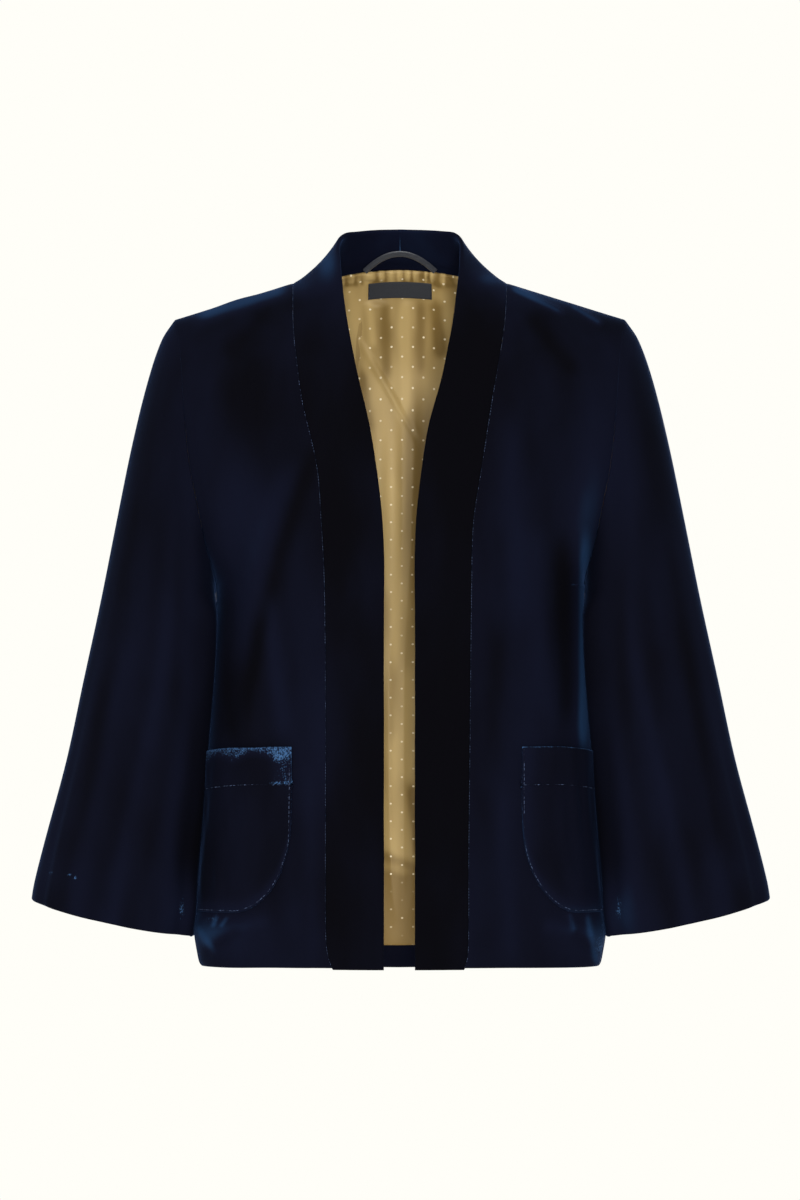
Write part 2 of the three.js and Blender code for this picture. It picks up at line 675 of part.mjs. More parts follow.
// A patch pocket: the panel's own points, moved out, inside an outline with round corners
function pocketGeometry(side, front) {
  const columns = pocketColumns(front, POCKET_INNER_X[side]);
  const middle = (POCKET_TOP.inner + POCKET_BOTTOM) / 2;
  const runs = [0];
  for (let i = 1; i < columns.length; i += 1) {
    const [a, b] = [columns[i - 1], columns[i]].map((c) => placeOn(front, c, middle).point);
    runs.push(runs[i - 1] + a.distanceTo(b));
  }
  const width = runs.at(-1);
  const under = [];
  const over = [];
  const cutOff = (corner, run) => corner.down * (1 - roundOff(run / corner.across));
  columns.forEach((column, i) => {
    const top = mix(POCKET_TOP.inner, POCKET_TOP.outer, runs[i] / width);
    const inner = cutOff(POCKET_CORNER.inner, runs[i]);
    const outer = cutOff(POCKET_CORNER.outer, width - runs[i]);
    const bottom = POCKET_BOTTOM + inner + outer;
    const [low, high] = [[], []];
    for (let row = 0; row <= POCKET_ROWS; row += 1) {
      const { point, normal } = placeOn(front, column, mix(bottom, top, row / POCKET_ROWS));
      low.push(point.clone().addScaledVector(normal, POCKET_LIFT));
      high.push(point.clone().addScaledVector(normal, POCKET_LIFT + VELVET));
    }
    under.push(low);
    over.push(high);
  });
  return wall(over, under);
}

// The hanging loop: a ribbon in half an oval that leans away from the standing collar
function loopGeometry() {
  const middle = (angle, beyond) => new THREE.Vector3(
    -(LOOP.halfWidth + beyond) * Math.cos(angle),
    LOOP.footY - (LOOP.rise + beyond) * LOOP.lean * Math.sin(angle),
    LOOP.footZ + (LOOP.rise + beyond) * Math.sin(angle),
  );
  const thickness = new THREE.Vector3(0, 1, LOOP.lean).setLength(LOOP.thick / 2);
  const [front, rear] = [[], []];
  for (let i = 0; i <= LOOP_STEPS; i += 1) {
    const angle = (Math.PI * i) / LOOP_STEPS;
    const line = [-LOOP.ribbon / 2, LOOP.ribbon / 2].map((beyond) => middle(angle, beyond));
    front.push(line.map((point) => point.clone().sub(thickness)));
    rear.push(line.map((point) => point.clone().add(thickness)));
  }
  return wall(front, rear);
}

// The bare label lies on the lining below the neck seam
function labelGeometry() {
  const grid = [LABEL.bottom, (LABEL.bottom + LABEL.top) / 2, LABEL.top].map((z) => {
    const line = [];
    for (let column = 0; column <= LABEL.columns; column += 1) {
      const x = LABEL.halfWidth * ((2 * column) / LABEL.columns - 1);
      line.push(new THREE.Vector3(x, clothY(FACES.back, x, z), z));
    }
    return line;
  });
  const normals = normalsOf(grid, false, () => BODY_MIDDLE);
  const depth = VELVET + SEAM_GAP + LINING_WALL + LABEL.lift;
  return wall(
    movedOut(grid, normals, () => -depth),
    movedOut(grid, normals, () => -depth - LABEL.thick),
  );
}

const finish = (name, color, roughness) =>
  new THREE.MeshStandardMaterial({ name, color, roughness, metalness: 0 });

const jacket = new THREE.Group();

function add(name, geometry, material) {
  const mesh = new THREE.Mesh(geometry, material);
  mesh.name = name;
  jacket.add(mesh);
}

const back = panelOf(FACES.back, backPoints());
for (const side of Object.keys(SIDES)) {
  const front = panelOf(FACES.front, frontPoints(side));
  add(`front_${side}`, panelGeometry(front), finish('velvet', 0x101a30, 0.85));
  add(`sleeve_${side}`, sleeveGeometry(side, front, back), finish('velvet', 0x101a30, 0.85));
  add(`band_${side}`, bandGeometry(side, front, back), finish('velvet', 0x101a30, 0.85));
  add(`pocket_${side}`, pocketGeometry(side, front), finish('velvet', 0x14213c, 0.8));
}
add('back', panelGeometry(back), finish('velvet', 0x101a30, 0.85));
add('lining_back', liningGeometry(back), finish('lining', 0x9c7f45, 0.45));
add('hanging_loop', loopGeometry(), finish('ribbon', 0x3a3c42, 0.5));
add('label', labelGeometry(), finish('label', 0x24262b, 0.7));

export default jacket;
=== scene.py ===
"""Looks of an open-front velvet jacket, in the hollow shape that it has when it is worn.

Shapes are worked out in millimetres and put into the meshes in metres. +Z is up, the front faces
-Y, and left is -X as seen from the front. The origin lies midway between the two points where the
shoulder seams meet the collar band.
"""

from __future__ import annotations

import logging
import math
from dataclasses import dataclass
from enum import Enum, IntEnum

import bpy
import numpy as np
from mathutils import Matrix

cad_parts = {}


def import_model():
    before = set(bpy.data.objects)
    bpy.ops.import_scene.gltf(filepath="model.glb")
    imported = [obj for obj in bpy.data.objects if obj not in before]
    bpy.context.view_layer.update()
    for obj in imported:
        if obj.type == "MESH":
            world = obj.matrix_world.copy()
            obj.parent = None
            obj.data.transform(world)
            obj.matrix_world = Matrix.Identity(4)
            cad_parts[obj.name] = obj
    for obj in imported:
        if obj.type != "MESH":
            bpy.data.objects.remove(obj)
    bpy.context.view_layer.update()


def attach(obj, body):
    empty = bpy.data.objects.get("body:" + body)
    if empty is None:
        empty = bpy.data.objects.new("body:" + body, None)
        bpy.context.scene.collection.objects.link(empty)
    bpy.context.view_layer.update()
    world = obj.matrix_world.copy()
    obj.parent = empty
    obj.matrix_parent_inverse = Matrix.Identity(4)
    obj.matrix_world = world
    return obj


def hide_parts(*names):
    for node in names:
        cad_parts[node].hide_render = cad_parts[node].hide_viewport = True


MM = 0.001
BODY = "root"
Array = np.ndarray
Colour = tuple[float, float, float]
Range = tuple[float, float]
Socket = bpy.types.NodeSocket
Material = bpy.types.Material
Mesh = bpy.types.Mesh

LOG = logging.getLogger("jacket")


# Short tables and the curves through them


@dataclass(frozen=True)
class Table:
    """A short table of measures, read as one smooth curve through its rows.

    The first column is what the others are read by, and it only rises.
    """

    columns: str
    rows: tuple[tuple[float, ...], ...]

    def read(self, at: Array | float, column: str) -> Array:
        """The value of a column, as a cubic between rows with centred slopes.

        Args:
            at: places along the first column; beyond its ends the end rows hold.
            column: the name of the column to read.

        Returns:
            An array of the shape of at.
        """
        grid = np.array(self.rows, float)
        keys, values = grid[:, 0], grid[:, self.columns.split().index(column)]
        row = np.arange(len(keys))
        before, after = np.maximum(row - 1, 0), np.minimum(row + 1, len(keys) - 1)
        slope = (values[after] - values[before]) / (keys[after] - keys[before])
        held = np.clip(np.asarray(at, float), keys[0], keys[-1])
        i = np.clip(np.searchsorted(keys, held, side="right") - 1, 0, len(keys) - 2)
        span = keys[i + 1] - keys[i]
        t = (held - keys[i]) / span
        bend = 1 - t
        ends = values[i] * (1 + 2 * t) * bend**2 + values[i + 1] * (3 - 2 * t) * t**2
        return ends + span * t * bend * (slope[i] * bend - slope[i + 1] * t)


def mix(a: Array | float, b: Array | float, t: Array | float) -> Array | float:
    """The value at a share t of the way from a to b."""
    return a + (b - a) * t


def smooth(t: Array | float) -> Array:
    """An S curve from 0 to 1 as t goes from 0 to 1, level at both ends."""
    held = np.clip(t, 0, 1)
    return held**2 * (3 - 2 * held)


def round_off(t: Array | float) -> Array:
    """A quarter circle from 0 to 1 as t goes from 0 to 1, steep at the start."""
    return np.sqrt(1 - (1 - np.clip(t, 0, 1)) ** 2)


def bell(off: Array) -> Array:
    """A bell curve of height 1 whose width is 1."""
    return np.exp(-(off**2))


def near(run: Array | float, width: float) -> Array:
    """1 at a line, falling as an S curve to 0 at a distance of one width from it."""
    return 1 - smooth(run / width)


def kept_above_zero(value: Array) -> Array:
    """The value where it is well above 0, and a soft curve that stays above 0 elsewhere."""
    soft, well_above = 0.8, 8
    curve = np.log1p(np.exp(np.minimum(value, well_above) / soft)) * soft
    return np.where(value > well_above, value, curve)


def turned_off(degrees: Array, centre: Array | float) -> Array:
    """Angle from a centre, between -180 and 180 degrees."""
    return (degrees - centre + 180) % 360 - 180


# The cut of the jacket: its solids' measures, which the hem's corners, the cuffs and the band's
# edges leave by a few millimetres to follow the photo more closely


class Face(Enum):
    """The two faces of the body: the way each looks along Y, and its armhole's depth."""

    FRONT = ("front", -1.0, 62.0)
    BACK = ("back", 1.0, 66.0)

    def __init__(self, label: str, sign: float, armhole: float) -> None:
        """Keeps the parts of the option under their own names."""
        self.label = label
        self.sign = sign
        self.armhole = armhole


class Side(Enum):
    """The two sides of the jacket as seen from the front, with the sign of their X."""

    LEFT = ("left", -1.0)
    RIGHT = ("right", 1.0)

    def __init__(self, label: str, sign: float) -> None:
        """Keeps the parts of the option under their own names."""
        self.label = label
        self.sign = sign

    @property
    def index(self) -> int:
        """0 for the left side and 1 for the right one."""
        return int(self.sign > 0)


# Distance from the centre to the side seam and, above the armpit, to the armhole seam
BODY_WIDTH = Table(
    "z x",
    (
        (-600, 173), (-580, 177), (-565, 179), (-545, 177), (-509, 174), (-453, 170),
        (-400, 167), (-337, 163), (-262, 160), (-228, 168), (-184, 177), (-158, 182),
        (-109, 187), (-65, 190), (-45, 193), (-31.93, 196), (20, 197),
    ),
)

# Depth of the body in front of the side seams and behind them, on the centre line
BODY_DEPTH = Table(
    "z front back",
    (
        (-600, 101, 99), (-480, 101, 95), (-400, 103, 92), (-300, 110, 96), (-210, 115, 104),
        (-150, 113, 106), (-95, 105, 104), (-40, 93, 98), (20, 80, 92),
    ),
)

# Height of the hem by distance from the centre
HEM = Table(
    "x front back",
    ((0, -592.5, -599), (90, -592.5, -598), (166, -594, -595), (172, -593, -593), (176, -590, -590)),
)

# Seam that joins the collar band to each front, by height
BAND_SEAM = Table(
    "z left right",
    (
        (-600, 53, 51), (-588, 60, 57), (-570, 63.5, 58.8), (-500, 64, 59), (-360, 64, 60.5),
        (-260, 65, 61.5), (-210, 67.5, 63), (-160, 71.5, 70.5), (-105, 84, 79), (-65, 89.5, 86),
        (-39, 92, 90), (0, 93, 93),
    ),
)

# Free edge of the band on the chest, by height
BAND_EDGE = Table(
    "z left right y",
    (
        (-600, 14, 13, -104), (-400, 14, 13, -107), (-300, 14, 13, -113), (-224, 14, 13, -117),
        (-189, 17, 15.5, -117), (-154, 21.5, 20, -116), (-119, 27.5, 26, -113),
        (-84, 35.6, 34, -107),
    ),
)

# Free edge of the band where it stands up round the neck, by seam station, with its bend
COLLAR_EDGE = (
    (35.2, -107, -87, 0), (41.7, -96, -57, -1), (47.2, -79, -28, -2), (51.3, -53, 1, -3.5),
    (54, -25, 24, -5), (53.5, 3, 38.5, -5), (48.5, 22, 45.5, -4), (37, 37, 47.5, -2),
    (19, 46.5, 49, -1), (0, 50, 49.5, -1),
)

# Sleeve: its outer line from the shoulder tip to the cuff
SLEEVE_OUTER = Table(
    "share x z",
    (
        (0, 196.5, -32), (0.04, 208, -49.5), (0.11, 220, -84), (0.21, 233, -137),
        (0.35, 247, -206), (0.49, 261, -276), (0.63, 276, -345), (0.77, 291, -415),
        (0.91, 310, -486), (0.975, 319, -522), (1, 321.5, -537),
    ),
)

# Sleeve: its underarm line, and its depth in front of and behind its own middle
SLEEVE_INNER = Table(
    "share x z middle front back",
    (
        (0, 160, -262, 0, 62, 66), (0.3, 157, -352, 3, 65, 66), (0.6, 161, -444, 6, 63, 63),
        (1, 173.5, -568.5, 8, 62, 62),
    ),
)


@dataclass(frozen=True)
class BodyCut:
    """The cut of the body: ovals from side seam to side seam, closed by the shoulders.

    Rows are counted up the cloth as on the solids: the turned hem is row 0 to 1, the armpit is
    row 10 and the shoulder seam is row 21. A row may be any number between those.
    """

    neck_half_width: float = 93
    neck_depth: float = 68
    neck_rise: float = 15
    shoulder_half_width: float = 196
    shoulder_slope: float = 0.31
    shoulder_y: float = 8
    shoulder_round: float = 95
    armpit_z: float = -262
    armhole_round: float = 90
    calm_height: float = 70
    section_power: float = 2.3
    seam_gap: float = 0.04
    turned_hem: float = 20
    hem_inner_x: float = 70
    hem_outer_x: float = 176
    hem_row: float = 1
    armpit_row: float = 10
    armhole_row: float = 14
    chest_row: float = 16
    top_row: float = 21
    arc_steps: int = 40

    def arc(self, r: Array) -> Array:
        """Depth of a squarish quarter oval of size 1 at a share r of its width."""
        power = self.section_power
        return np.maximum(0, 1 - np.maximum(r, 0) ** power) ** (1 / power)

    def top_height(self, face: Face, x: Array) -> Array:
        """Height of the shoulder seam or, behind, of the neckline: a parabola."""
        out = np.abs(x) - self.neck_half_width
        neck = self.neck_rise * (1 - (x / self.neck_half_width) ** 2)
        inside = neck if face is Face.BACK else np.zeros_like(neck)
        return np.where(out >= 0, -self.shoulder_slope * out, inside)

    def top_depth(self, face: Face, x: Array) -> Array:
        """Y of the shoulder seam or, behind, of the neckline: half an oval."""
        inside = np.maximum(0, 1 - (x / self.neck_half_width) ** 2)
        deep = self.neck_depth * np.sqrt(inside) if face is Face.BACK else 0
        return self.shoulder_y + deep

    def reach(self, face: Face, z: Array) -> Array:
        """How far round its oval a face reaches: 1 to the armpit, less beside the armhole."""
        hole = face.armhole * round_off((z - self.armpit_z) / self.armhole_round)
        depth = BODY_DEPTH.read(z, face.label)
        return self.arc(np.where(z <= self.armpit_z, 0, hole / depth))

    def calm_reach(self, face: Face, z: Array) -> Array:
        """The same for the middle of a face, which changes slowly round the armpit."""
        full = self.arc(face.armhole / BODY_DEPTH.read(z, face.label))
        climb = (z - self.armpit_z + self.calm_height) / (self.armhole_round + self.calm_height)
        return mix(1, full, smooth(climb))

    def cloth_y(self, face: Face, x: Array, z: Array) -> Array:
        """Depth of the cloth at a place on the body.

        The level section is an oval through the side or armhole seam. Near the top it curves
        over to the shoulder seam or the neckline, as a power of a quarter parabola.

        Args:
            face: the face of the body.
            x, z: places on it.
        """
        depth = BODY_DEPTH.read(z, face.label)
        across = np.minimum(1, np.abs(x) / BODY_WIDTH.read(z, "x"))
        reach = mix(self.calm_reach(face, z), self.reach(face, z), across**4)
        section = face.sign * depth * self.arc(reach * across)
        below = np.clip((self.top_height(face, x) - z) / self.shoulder_round, 0, 1)
        neck = smooth(np.abs(x) / self.neck_half_width) if face is Face.BACK else 1
        return mix(self.top_depth(face, x), section, (1 - (1 - below) ** 2) ** (1 - 0.5 * neck))

    def across_at(self, face: Face, z: Array, start: Array, share: Array) -> Array:
        """The x at a share of the cloth's length between x = start and the outer seam.

        The oval is followed in equal steps of its angle, and the share is measured along the
        line through them.

        Args:
            face: the face of the body.
            z: height.
            start: where the length starts, as a distance from the centre.
            share: share of the length from there.
        """
        reach = self.reach(face, z)
        wide = BODY_WIDTH.read(z, "x") / reach
        depth = BODY_DEPTH.read(z, face.label)
        first, last = (
            np.arcsin(np.clip(r, 0, 1) ** (self.section_power / 2)) for r in (start / wide, reach)
        )
        steps = np.linspace(0, 1, self.arc_steps + 1)
        angle = first[..., None] + (last - first)[..., None] * steps
        x = wide[..., None] * np.sin(angle) ** (2 / self.section_power)
        y = depth[..., None] * np.maximum(0, np.cos(angle)) ** (2 / self.section_power)
        run = np.cumsum(np.hypot(np.diff(x), np.diff(y)), axis=-1)
        run = np.concatenate([np.zeros_like(run[..., :1]), run], axis=-1)
        wanted = (share * run[..., -1])[..., None]
        after = np.clip((run < wanted).sum(-1), 1, self.arc_steps)[..., None]
        x0, x1, run0, run1 = (
            np.take_along_axis(a, after - back, -1) for a in (x, run) for back in (1, 0)
        )
        return mix(x0, x1, (wanted - run0) / (run1 - run0))[..., 0]

    def row_height(self, row: Array, hem: Array, top: Array) -> Array:
        """Height of a row: even steps up to the armpit and on the chest, curved ones between.

        Args:
            row: rows up the cloth.
            hem: height of the hem in each column.
            top: height of the column's upper end.
        """
        quarter = math.pi / 2
        body_share = (row - self.hem_row) / (self.armpit_row - self.hem_row)
        body = mix(hem + self.turned_hem, self.armpit_z, body_share)
        climb = (row - self.armpit_row) / (self.armhole_row - self.armpit_row)
        armhole = self.armpit_z + self.armhole_round * (1 - np.cos(quarter * climb))
        chest_share = (row - self.armhole_row) / (self.chest_row - self.armhole_row)
        chest = mix(self.armpit_z + self.armhole_round, top - self.shoulder_round, chest_share)
        left = (self.top_row - row) / (self.top_row - self.chest_row)
        shoulder = top - self.shoulder_round * (1 - np.cos(quarter * left))
        ends = (self.hem_row, self.armpit_row, self.armhole_row, self.chest_row)
        values = [hem + self.turned_hem * row, body, armhole, chest]
        return np.select([row <= end for end in ends], values, shoulder)

    def end_height(self, row: Array, face: Face, hem_x: float, top_x: float) -> Array:
        """Height of a row on a panel's seam that ends at one x at the hem and one at the top."""
        top = self.top_height(face, np.array(top_x, float))
        return self.row_height(row, HEM.read(hem_x, face.label), top)

    def towards_top(self, row: Array) -> Array:
        """How far a row has come from the even spacing of the body to the shoulder seam's."""
        return smooth((row - self.armpit_row) / (self.top_row - self.armpit_row))

    def fine_rows(self, first: float = 0) -> Array:
        """Rows close enough for a smooth cloth, closest at the hem, its turning and the top."""
        hem = [0, 0.02, 0.05, 0.09, 0.15, 0.3, 0.5, 0.7, 0.9, 0.96, 1, 1.015, 1.04, 1.08]
        body = np.linspace(1.14, self.armpit_row, 104)
        armhole = np.linspace(self.armpit_row, self.armhole_row, 34)
        chest = np.linspace(self.armhole_row, self.chest_row, 26)
        shoulder = np.linspace(self.chest_row, 20.85, 52)
        top = [20.9, 20.94, 20.97, 20.99, self.top_row]
        rows = np.unique(np.round(np.concatenate([hem, body, armhole, chest, shoulder, top]), 5))
        return rows[rows >= first]


# Grids of points and the cloth made from them


def grid_of(x: Array, y: Array, z: Array) -> Array:
    """A grid of points from the grids of their three measures."""
    return np.stack(np.broadcast_arrays(x, y, z), axis=-1).astype(float)


def unit(vectors: Array) -> Array:
    """The vectors at length 1."""
    return vectors / np.maximum(np.linalg.norm(vectors, axis=-1, keepdims=True), 1e-9)


def normals_of(grid: Array, centre: Array | tuple[float, ...], wrapped: bool = False) -> Array:
    """Unit normals: the cross product of the two tangents of the grid at each point.

    Args:
        grid: points by row and column.
        centre: a point, or a point for each row, that the normals look away from.
        wrapped: whether the last column meets the first.

    Returns:
        The normals, all on the side of the cloth that looks away from the centre.
    """
    up = np.gradient(grid, axis=0)
    if wrapped:
        across = np.roll(grid, -1, axis=1) - np.roll(grid, 1, axis=1)
    else:
        across = np.gradient(grid, axis=1)
    normal = unit(np.cross(across, up))
    outward = (normal * (grid - centre)).sum()
    return normal if outward > 0 else -normal


class Border(IntEnum):
    """The four borders of a grid, in the order of their distances from border_runs."""

    FOOT = 0
    TOP = 1
    START = 2
    END = 3


def border_runs(grid: Array) -> tuple[Array, Array, Array, Array]:
    """Distance along the cloth of each point from the first and last row and column."""
    runs = []
    for axis in (0, 1):
        step = np.linalg.norm(np.diff(grid, axis=axis), axis=-1)
        lead = np.zeros_like(np.take(step, [0], axis=axis))
        run = np.concatenate([lead, np.cumsum(step, axis=axis)], axis=axis)
        runs += [run, np.take(run, [-1], axis=axis) - run]
    return tuple(runs)


def lined_cells(points: Array, above: Array, wrapped: bool = False) -> Array:
    """Cells of the inside that show lining: above the turned hem and clear of the seams.

    Args:
        points: the cloth's grid.
        above: which of its points lie above the turned hem.
        wrapped: whether it is a tube, with a seam at its first row and none at its sides.
    """
    runs = border_runs(points)
    seams = runs[:2] if wrapped else runs[1:]
    clear = (np.minimum.reduce(seams) > SEAM_WIDTH) & above
    return clear[1:] & clear[:-1] if wrapped else clear[1:, 1:] & clear[:-1, :-1]


def spaced(count: int, fine: tuple[float, ...]) -> Array:
    """Shares from 0 to 1 in even steps, with a few close ones at both ends."""
    middle = np.linspace(2 * fine[-1], 1 - 2 * fine[-1], count)
    close = np.array(fine)
    return np.concatenate([[0], close, middle, 1 - close[::-1], [1]])


@dataclass(frozen=True)
class Ripple:
    """A low uneven swell of cloth, as a sum of a few long waves from a seed."""

    seed: int
    height: float
    shortest: float
    longest: float
    waves: int = 9

    def at(self, a: Array, b: Array) -> Array:
        """Height of the swell at a place given by two distances along the cloth."""
        chance = np.random.default_rng(self.seed)
        total = np.zeros(np.broadcast(a, b).shape)
        for _ in range(self.waves):
            length = chance.uniform(self.shortest, self.longest)
            lean = chance.uniform(-0.35, 0.35)
            start = chance.uniform(0, 2 * math.pi)
            total += np.sin((a * math.cos(lean) + b * math.sin(lean)) * 2 * math.pi / length + start)
        return total * self.height / math.sqrt(self.waves)


@dataclass(frozen=True)
class Crease:
    """A soft ridge or trough from one place to another, fading out at its ends.

    Places are x from the centre and height. Nap is the painted highlight along it, a bluer
    pile, and where it is below 0 the painted shade, a darker one.
    """

    x0: float
    z0: float
    x1: float
    z1: float
    width: float
    height: float
    nap: float = 0
    bow: float = 0

    def at(self, x: Array, z: Array) -> Array:
        """Share of the full height at a place: a bell curve across, an S curve at each end."""
        dx, dz = self.x1 - self.x0, self.z1 - self.z0
        length = math.hypot(dx, dz)
        t = ((x - self.x0) * dx + (z - self.z0) * dz) / length**2
        off = ((x - self.x0) * dz - (z - self.z0) * dx) / length
        off = off - self.bow * 4 * t * (1 - t)
        ends = smooth(t / 0.25 + 0.5) * smooth((1 - t) / 0.25 + 0.5)
        return ends * bell(off / self.width)


@dataclass(frozen=True)
class Mark:
    """A soft oval where the pile is crushed or lies another way."""

    x: float
    z: float
    wide: float
    high: float
    strength: float

    def at(self, x: Array, z: Array) -> Array:
        """Strength of the mark at a place."""
        return self.strength * bell(np.hypot((x - self.x) / self.wide, (z - self.z) / self.high))


@dataclass(frozen=True)
class Edge:
    """How a border is finished: how far it thins on its outside and inside, and over what."""

    radius: float
    outside: float
    inside: float

    def thin(self, run: Array) -> tuple[Array, Array]:
        """How far the two faces draw together at a distance from the border: a quarter round."""
        share = 1 - round_off(run / self.radius)
        return self.outside * share, self.inside * share


SEAM = Edge(radius=3.2, outside=0.75, inside=0)
SHALLOW_SEAM = Edge(radius=2.4, outside=0.2, inside=0)
FOLD = Edge(radius=1.6, outside=0.9, inside=0.9)
THICK_FOLD = Edge(radius=2.6, outside=1.5, inside=1.5)
BAND_FOLD = Edge(radius=3, outside=1.8, inside=1.8)
POCKET_SIDE = Edge(radius=2.2, outside=1.3, inside=0)
SEAM_WIDTH = 1.2


@dataclass
class Cloth:
    """A closed wall of cloth over a grid of points, with what its finish needs.

    Attributes:
        points: the outside of the cloth, by row and column.
        normals: their outward normals.
        thickness: the wall's thickness, as a number or for each point.
        edges: finish of the first and last row and the first and last column; the last two
            don't count on a tube.
        wrapped: whether it is a tube, whose last column meets the first.
        rub: how far the pile is crushed on the outside, 0 to 1.
        inner_rub: the same on the inside.
        nap: how blue the pile looks, from 0 for near black through 1 to 2 for the lightest blue:
        the way the pile lies, with painted highlights and painted shade along folds and edges;
        on satin, how light the gold looks, as painted light and shade of its folds and gathers
        and darker at its foot.
        inner_nap_and_painted_light: the same on the inside.
        lined: where the inside shows lining, by cell, or nowhere.
        cloth_u, cloth_v: place on the flat cloth, in millimetres.
    """

    points: Array
    normals: Array
    thickness: Array | float
    edges: tuple[Edge, Edge, Edge, Edge]
    wrapped: bool = False
    rub: Array | float = 0.0
    inner_rub: Array | float = 0.0
    nap: Array | float = 0.5
    inner_nap_and_painted_light: Array | float = 0.4
    lined: Array | None = None
    cloth_u: Array | None = None
    cloth_v: Array | None = None

    def closed(self, grid: Array) -> Array:
        """The grid with its first column repeated at its end if the cloth is a tube."""
        return np.concatenate([grid, grid[:, :1]], axis=1) if self.wrapped else grid

    def layers(self) -> tuple[Array, Array]:
        """The outer and inner faces, drawn together at the borders."""
        runs = border_runs(self.points)
        pairs = list(zip(self.edges, runs))[: 2 if self.wrapped else 4]
        thins = [edge.thin(run) for edge, run in pairs]
        outside = np.max([np.broadcast_to(t[0], self.points.shape[:2]) for t in thins], axis=0)
        inside = np.max([np.broadcast_to(t[1], self.points.shape[:2]) for t in thins], axis=0)
        outer = self.points - self.normals * outside[..., None]
        depth = np.broadcast_to(self.thickness, self.points.shape[:2]) - inside
        return outer, self.points - self.normals * depth[..., None]

    def flat_places(self) -> Array:
        """Place of each grid point on the flat cloth in metres: distances along the grid."""
        runs = border_runs(self.closed(self.points))
        u = runs[Border.START] if self.cloth_u is None else self.cloth_u
        v = runs[Border.FOOT] if self.cloth_v is None else self.cloth_v
        return np.stack(np.broadcast_arrays(u, v), axis=-1) * MM

    def mesh(self, name: str) -> Mesh:
        """The wall as a mesh: two grids of quads, joined round their borders.

        Each corner is a layer, a row and a column, so a tube's pattern can run on past its
        first column. The faces are turned so that the volume that they close is positive.
        """
        outer, inner = self.layers()
        rows, columns = outer.shape[:2]
        cells = columns if self.wrapped else columns - 1
        r, c = (i.ravel() for i in np.meshgrid(np.arange(rows - 1), np.arange(cells), indexing="ij"))
        around = np.arange(cells)
        upward = np.arange(rows - 1)

        def quads(*corners: tuple[int, Array | int, Array | int]) -> Array:
            """Faces by corner, each a layer, rows and columns."""
            return np.stack([np.stack(np.broadcast_arrays(*k), -1) for k in corners], axis=1)

        end = rows - 1
        parts = [
            quads((0, r, c), (0, r, c + 1), (0, r + 1, c + 1), (0, r + 1, c)),
            quads((1, r, c), (1, r + 1, c), (1, r + 1, c + 1), (1, r, c + 1)),
            quads((0, 0, around), (1, 0, around), (1, 0, around + 1), (0, 0, around + 1)),
            quads((0, end, around), (0, end, around + 1), (1, end, around + 1), (1, end, around)),
        ]
        if not self.wrapped:
            last = columns - 1
            parts += [
                quads((0, upward, 0), (0, upward + 1, 0), (1, upward + 1, 0), (1, upward, 0)),
                quads((0, upward, last), (1, upward, last), (1, upward + 1, last), (0, upward + 1, last)),
            ]
        corners = np.concatenate(parts)
        index = (corners[..., 0] * rows + corners[..., 1]) * columns + corners[..., 2] % columns
        points = np.concatenate([outer.reshape(-1, 3), inner.reshape(-1, 3)]) * MM
        a, b, d, e = (points[index[:, k]] for k in range(4))
        volume = (a * np.cross(b, d)).sum() + (a * np.cross(d, e)).sum()
        if volume < 0:
            corners, index = corners[:, ::-1], index[:, ::-1]
        places = self.flat_places()[corners[..., 1], corners[..., 2]]
        slots = np.zeros(len(index), np.int32)
        if self.lined is not None:
            layer = len(r)
            slots[layer : 2 * layer] = np.broadcast_to(self.lined, (rows - 1, cells)).ravel()
        mesh = mesh_of(name, points, index, places, slots)
        # The rub attribute is crushed pile; the nap attribute adds painted highlights and painted shade
        # to the pile's own blue
        looks = (("rub", self.rub, self.inner_rub), ("nap", self.nap, self.inner_nap_and_painted_light))
        for label, outside, inside in looks:
            both = [np.broadcast_to(value, (rows, columns)).ravel() for value in (outside, inside)]
            values = np.concatenate(both).astype(np.float32)
            mesh.attributes.new(label, "FLOAT", "POINT").data.foreach_set("value", values)
        return mesh


def mesh_of(name: str, points: Array, faces: Array, places: Array, slots: Array) -> Mesh:
    """A smooth mesh from arrays.

    Args:
        name: the mesh's name.
        points: vertices in metres.
        faces: vertex indices, a row for each face, all with the same count of corners.
        places: place on the flat cloth of each face's corners, in metres.
        slots: material slot of each face.

    Returns:
        The mesh, with its UV map named cloth.
    """
    mesh = bpy.data.meshes.new(name)
    count, corners = faces.shape
    mesh.vertices.add(len(points))
    mesh.vertices.foreach_set("co", points.astype(np.float32).ravel())
    mesh.loops.add(count * corners)
    mesh.loops.foreach_set("vertex_index", faces.astype(np.int32).ravel())
    mesh.polygons.add(count)
    mesh.polygons.foreach_set("loop_start", np.arange(0, count * corners, corners, dtype=np.int32))
    mesh.polygons.foreach_set("material_index", slots.astype(np.int32))
    mesh.polygons.foreach_set("use_smooth", np.ones(count, bool))
    mesh.uv_layers.new(name="cloth").data.foreach_set("uv", places.astype(np.float32).ravel())
    mesh.update(calc_edges=True)
    mesh.validate()
    return mesh


# Finishes


